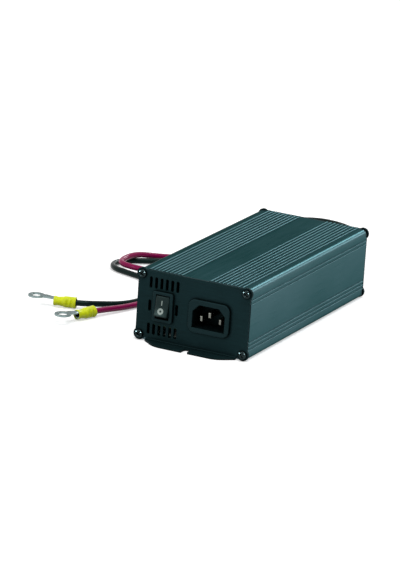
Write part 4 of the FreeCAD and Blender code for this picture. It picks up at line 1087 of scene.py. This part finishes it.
@dataclass
class LeadBush:
    """Rubber bush of one output lead, with flex rings on its tail."""

    pole: str
    plate_in: float = 92.5
    plate_out: float = 94.0
    flange: float = 5.2
    flange_thick: float = 1.5
    soft: float = 0.3
    neck: float = 4.0
    tail: float = 7.0
    tail_inset: float = 0.5
    tip: float = 2.9
    tip_inset: float = 0.3
    tip_long: float = 0.2
    bore: float = 2.15
    rings: int = 5
    ring_room: Spot = (1.1, 0.7)
    ring_insets: Spot = (0.55, 0.4)
    bead: float = 0.5

    def build(self) -> None:
        """Makes the turned body and grows the rings on its tail."""
        back, out = self.plate_in - self.flange_thick, self.plate_out + self.flange_thick
        end = out + self.tail
        wide, soft, neck = self.flange, self.soft, self.neck
        profile = [(back, self.bore), (back, wide - soft), (back + soft, wide), (self.plate_in, wide),
                   (self.plate_in, neck), (self.plate_out, neck), (self.plate_out, wide), (out - soft, wide),
                   (out, wide - soft), (out, neck - self.tail_inset),
                   (end - self.tip_long, self.tip - self.tip_inset), (end, self.tip - self.tail_inset),
                   (end, self.bore)]
        along_y = Matrix.Translation((EXIT_ACROSS[self.pole] * MM, 0, EXIT_Z * MM))
        body = as_mesh(turned(profile, along_y @ Matrix.Rotation(math.pi / 2, 4, "Z"), wrap=True))
        mesh = joined(body, self.flex_rings(out + self.ring_room[0], end - self.ring_room[1]))
        dressed(f"{self.pole}_strain_relief", mesh, RUBBER, 40.0, f"{self.pole}_bush")

    def flex_rings(self, first: float, last: float) -> Mesh:
        """Grows the rings, each smaller than the one before.

        Args:
            first: Place of the first ring along Y, in millimetres.
            last: Place of the last ring.

        Returns:
            The rings' mesh.
        """
        growth = Growth("Flex rings")
        gap = (last - first) / (self.rings - 1)
        root, far = self.ring_insets
        count, big, small = growth.given(
            count=self.rings, first=(self.neck - root) * MM, last=(self.tip - far) * MM)
        row = growth.row(count, (EXIT_ACROSS[self.pole] * MM, first * MM, EXIT_Z * MM), (0.0, gap * MM, 0.0))
        circle = growth.add("CurvePrimitiveCircle", {"Resolution": 40, "Radius": 1.0})
        index = growth.add("InputIndex")
        many = growth.add("InstanceOnPoints", {
            "Points": row, "Instance": circle, "Rotation": (math.pi / 2, 0, 0),
            "Scale": ranged(growth.tree, index, (0.0, self.rings - 1.0), (big, small))})
        loops = growth.add("RealizeInstances", {"Geometry": many})
        bead = growth.add("CurvePrimitiveCircle", {"Resolution": 10, "Radius": self.bead * MM})
        beads = growth.add("CurveToMesh", {"Curve": loops, "Profile Curve": bead})
        return growth.grow(beads, RUBBER)


@dataclass
class HookUpWires:
    """Wires inside the case, each on its own smooth line between two fixed ends."""

    wire: float = 1.0
    lead: float = 2.1
    post_y: float = 66.0
    post_z: float = 19.2
    rise: float = 0.57
    elbow: Spot = (8.5, 0.3)
    level_from: float = 21.0

    def build(self) -> None:
        """Makes the six wires."""
        for pole, finish in (("positive", RED_PVC), ("negative", BLACK_PVC)):
            x, y = EXIT_ACROSS[pole], self.post_y
            points = [(x, y, self.post_z), (x, y, between(self.post_z, EXIT_Z, self.rise)),
                      (x, y + self.elbow[0], EXIT_Z - self.elbow[1]), (x, y + self.level_from, EXIT_Z),
                      (x, EXIT_Y, EXIT_Z)]
            strand(f"{pole}_inner_cable", f"{pole}_inner_lead", points, self.lead, finish)
        for name, (finish, points) in HOOK_UPS.items():
            strand(f"{name}_link", f"{name}_wire", points, self.wire, finish)


# Looks of the pieces that keep their solids
NODE_FINISHES: dict[Finish, tuple[str, ...]] = {
    BLACK_SHEET: ("front_plate", "rear_plate"),
    NYLON: ("inlet_body", "switch_body", "switch_plunger", "fan_frame", "fan_rotor"),
    NICKEL: ("inlet_blades", "switch_contact", "switch_tabs", "fuse_clips", "output_posts"),
    TIN: ("lamp_leads",),
    LAMP_RESIN: ("status_lamp",),
    LAMINATE: ("circuit_board",),
    FILM: ("insulating_sheet",),
    CERAMIC: ("mains_fuse",),
    YELLOW_TAPE: ("filter_capacitor", "transformer_winding"),
    FERRITE: ("filter_choke_core", "transformer_core", "output_choke_core"),
    ENAMEL: ("filter_choke_coils", "output_choke_winding"),
    CAN_SLEEVE: ("reservoir_capacitor", "output_capacitors"),
    SINK: ("primary_heat_sink", "output_heat_sink"),
    EPOXY: ("bridge_rectifier", "power_transistors", "output_rectifiers", "control_chips"),
}


def dress_kept(nodes: dict[str, Object]) -> None:
    """Gives each kept CAD node its finish.

    Args:
        nodes: The CAD nodes by name.
    """
    for finish, names in NODE_FINISHES.items():
        for name in names:
            nodes[name].data.materials.clear()
            nodes[name].data.materials.append(finish.build())
            LOG.info("%s: kept, %s", name, finish.name)


# Studio

@dataclass(frozen=True)
class Lamp:
    """A soft box: its stand, size, strength and aim, and the group of pieces that it's kept to, if any."""

    name: str
    stand: Place
    wide: float
    tall: float
    watts: float
    aim: Place = (-0.03, 0.0, 0.03)
    only: str = ""

    def build(self) -> None:
        """Adds the lamp."""
        data = bpy.data.lights.new(self.name, "AREA")
        data.shape = "RECTANGLE"
        data.size, data.size_y, data.energy = self.wide, self.tall, self.watts
        lamp = placed(self.name, data)
        lamp.location = self.stand
        lamp.rotation_mode = "QUATERNION"
        lamp.rotation_quaternion = (Vector(self.aim) - Vector(self.stand)).to_track_quat("-Z", "Y")
        if self.only:
            lamp.light_linking.receiver_collection = group(self.only)


@dataclass
class Studio:
    """White floor, plain surroundings and soft lamps."""

    lamps: tuple[Lamp, ...] = (
        Lamp("Top box", (0.3, -0.5, 1.9), 1.3, 1.3, 19.0),
        Lamp("Front left box", (-0.95, -1.6, 0.75), 0.6, 0.5, 6.0),
        Lamp("Rear strip", (0.0, 1.75, 1.06), 0.55, 0.5, 7.2),
        Lamp("Rear right box", (0.72, 1.72, 0.55), 0.5, 0.4, 3.0),
        Lamp("Left spark", (-1.6, -1.28, 0.22), 0.4, 0.4, 110.0, only=SCREWS),
        Lamp("Right spark", (0.75, -1.84, 0.64), 0.4, 0.4, 110.0, only=SCREWS),
    )
    ambient: float = 0.38
    floor_half: float = 8.0
    floor_drop: float = 0.0001
    floor_seen: float = 0.9
    floor_unseen: float = 0.25
    floor_glow: float = 0.45

    def build(self) -> None:
        """Sets the world, the floor and the lamps."""
        scene = bpy.context.scene
        scene.view_settings.view_transform = "Standard"
        scene.world = bpy.data.worlds.new("Studio")
        tree = cleared(scene.world)
        plain, white = (socket(tree, "Background", {"Color": WHITE, "Strength": strength})
                        for strength in (self.ambient, 1.0))
        self.end(tree, "OutputWorld", plain, white)
        self.floor()
        for lamp in self.lamps:
            lamp.build()

    @staticmethod
    def end(tree: NodeTree, kind: str, unseen: NodeSocket, seen: NodeSocket) -> None:
        """Ends a tree with two shaders, one of them for what the camera, gloss and glass see.

        Args:
            tree: The tree.
            kind: Type of its output node.
            unseen: Shader for all other rays.
            seen: Shader for what is seen.
        """
        path = add_node(tree, "LightPath").outputs
        eye = path["Is Camera Ray"]
        for way in ("Is Glossy Ray", "Is Transmission Ray"):
            eye = socket(tree, "Math", {0: eye, 1: path[way]}, operation="MAXIMUM")
        mixed = socket(tree, "MixShader", {0: eye, 1: unseen, 2: seen})
        add_node(tree, kind, {"Surface": mixed})

    def floor(self) -> None:
        """Adds the white floor, which keeps the shadow."""
        bm = bmesh.new()
        bmesh.ops.create_grid(bm, x_segments=1, y_segments=1, size=self.floor_half)
        floor = placed("floor", as_mesh(bm, mend=False))
        floor.location = (0.0, 0.0, -self.floor_drop)
        material = bpy.data.materials.new("White sweep")
        tree = cleared(material)
        shaded, cloth = (socket(tree, "BsdfDiffuse", {"Color": (tone, tone, tone, 1.0)})
                         for tone in (self.floor_unseen, self.floor_seen))
        glow = socket(tree, "Emission", {"Color": WHITE, "Strength": self.floor_glow})
        lifted = socket(tree, "AddShader", {0: cloth, 1: glow})
        self.end(tree, "OutputMaterial", shaded, lifted)
        floor.data.materials.append(material)


@dataclass
class Viewpoint:
    """Camera at the photograph's viewing angle, worked out for a picture of 400 by 570."""

    yaw_deg: float = 25.49
    pitch_deg: float = 16.51
    roll_deg: float = 3.89
    stand: Place = (-35.34, 21.97, 2756.44)
    focal: float = 4000.0
    tall: float = 570.0
    sensor: float = 36.0
    lift: float = 0.3
    clip: Spot = (0.1, 50.0)

    def build(self) -> None:
        """Adds the camera."""
        turns = ((self.yaw_deg, "Z"), (90 - self.pitch_deg, "X"), (self.roll_deg, "Z"))
        yaw, pitch, roll = (Matrix.Rotation(math.radians(angle), 4, axis) for angle, axis in turns)
        turn = yaw @ pitch @ roll
        spot = turn @ Vector(self.stand) + Vector((0, 0, self.lift))
        data = bpy.data.cameras.new("Camera")
        data.sensor_width = self.sensor
        data.lens = self.focal / self.tall * self.sensor
        data.clip_start, data.clip_end = self.clip
        camera = placed("Camera", data)
        camera.matrix_world = Matrix.Translation(spot * MM) @ turn
        bpy.context.scene.camera = camera


# Routes of the leads: from the lead's exit across and to the rear, and above the floor, in millimetres
POSITIVE_ROUTE: tuple[Place, ...] = (
    (0.0, 10.7, 39.5), (-6.4, 21.2, 35.0), (-23.0, 26.3, 25.8), (-43.0, 25.5, 17.4), (-63.0, 19.0, 10.4),
    (-82.5, 9.5, 5.2), (-101.0, -1.5, 2.4), (-117.5, -14.0, 2.7), (-126.8, -25.0, 4.6), (-134.0, -36.5, 7.2),
    (-137.6, -49.0, 6.9), (-135.8, -61.0, 6.4), (-125.0, -65.2, 6.2), (-111.5, -63.5, 5.6),
    (-96.5, -70.5, 3.2), (-86.0, -87.5, 2.3), (-81.5, -107.0, 2.3), (-82.4, -127.0, 2.3),
    (-87.6, -145.0, 2.6),
)
NEGATIVE_ROUTE: tuple[Place, ...] = (
    (0.0, 9.9, 39.5), (-5.5, 18.4, 39.3), (-18.5, 22.6, 39.9), (-34.5, 23.0, 39.9), (-52.0, 19.0, 37.6),
    (-71.0, 10.8, 26.4), (-91.0, 0.0, 13.8), (-109.5, -11.5, 5.4), (-126.0, -22.0, 2.4), (-140.5, -32.9, 2.3),
    (-153.7, -41.5, 2.3), (-157.6, -53.6, 2.3), (-151.2, -64.0, 2.3), (-137.0, -68.5, 2.3),
    (-120.3, -73.4, 2.4), (-105.0, -86.9, 2.4), (-98.2, -105.6, 2.3), (-99.4, -124.8, 2.3),
    (-105.9, -139.1, 2.3), (-117.5, -150.5, 3.0),
)
# Finishes and routes of the wires from the inlet and the switch, in millimetres
HOOK_UPS: dict[str, tuple[Finish, tuple[Place, ...]]] = {
    "live": (BROWN_WIRE, (
        (5.9, -70.2, 22.9), (5.9, -63.0, 22.9), (0.64, -57.0, 24.1), (-14.32, -56.8, 25.4),
        (-21.8, -63.5, 26.0), (-21.8, -72.5, 26.0))),
    "switched": (BROWN_WIRE, (
        (-21.8, -72.5, 21.0), (-21.8, -63.5, 21.0), (-21.8, -59.4, 16.9), (-21.8, -59.4, 11.2))),
    "neutral": (BLUE_WIRE, (
        (19.9, -70.2, 22.9), (19.9, -61.5, 22.9), (19.9, -56.9, 18.3), (19.9, -56.9, 11.2))),
    "earth": (GREEN_WIRE, (
        (12.9, -70.2, 26.9), (12.9, -61.2, 26.9), (12.9, -55.2, 20.9), (12.9, -55.2, 11.2))),
}


def main() -> None:
    """Builds the charger round its frame, in order."""
    logging.basicConfig(level=logging.INFO, format="%(name)s: %(message)s")
    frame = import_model()
    Viewpoint().build()
    Studio().build()
    OutputLead("positive", 250.0, (-97.9, -170.5), POSITIVE_ROUTE, 359.0, RED_PVC).build()
    OutputLead("negative", 196.7, (-128.6, -161.2), NEGATIVE_ROUTE, 363.5, BLACK_PVC).build()
    for pole in EXIT_ACROSS:
        LeadBush(pole).build()
    Housing().build()
    plate_screw = PanScrew(head=3.05, thick=1.9, shank=1.25, long=9.0)
    fan_screw = PanScrew(head=2.8, thick=1.9, shank=1.5, long=8.0)
    ScrewSet("front_screws", "front_plate_screws", plate_screw, -94.0, 3).build()
    ScrewSet("rear_screws", "rear_plate_screws", plate_screw, 94.0, 5).build()
    ScrewSet("fan_mount_screws", "fan_screws", fan_screw, 94.0, 8, (-16.5, 25.3), (16.0, 16.0)).build()
    Rocker().build()
    HookUpWires().build()
    dress_kept(frame["nodes"])


if __name__ == "__main__":
    main()
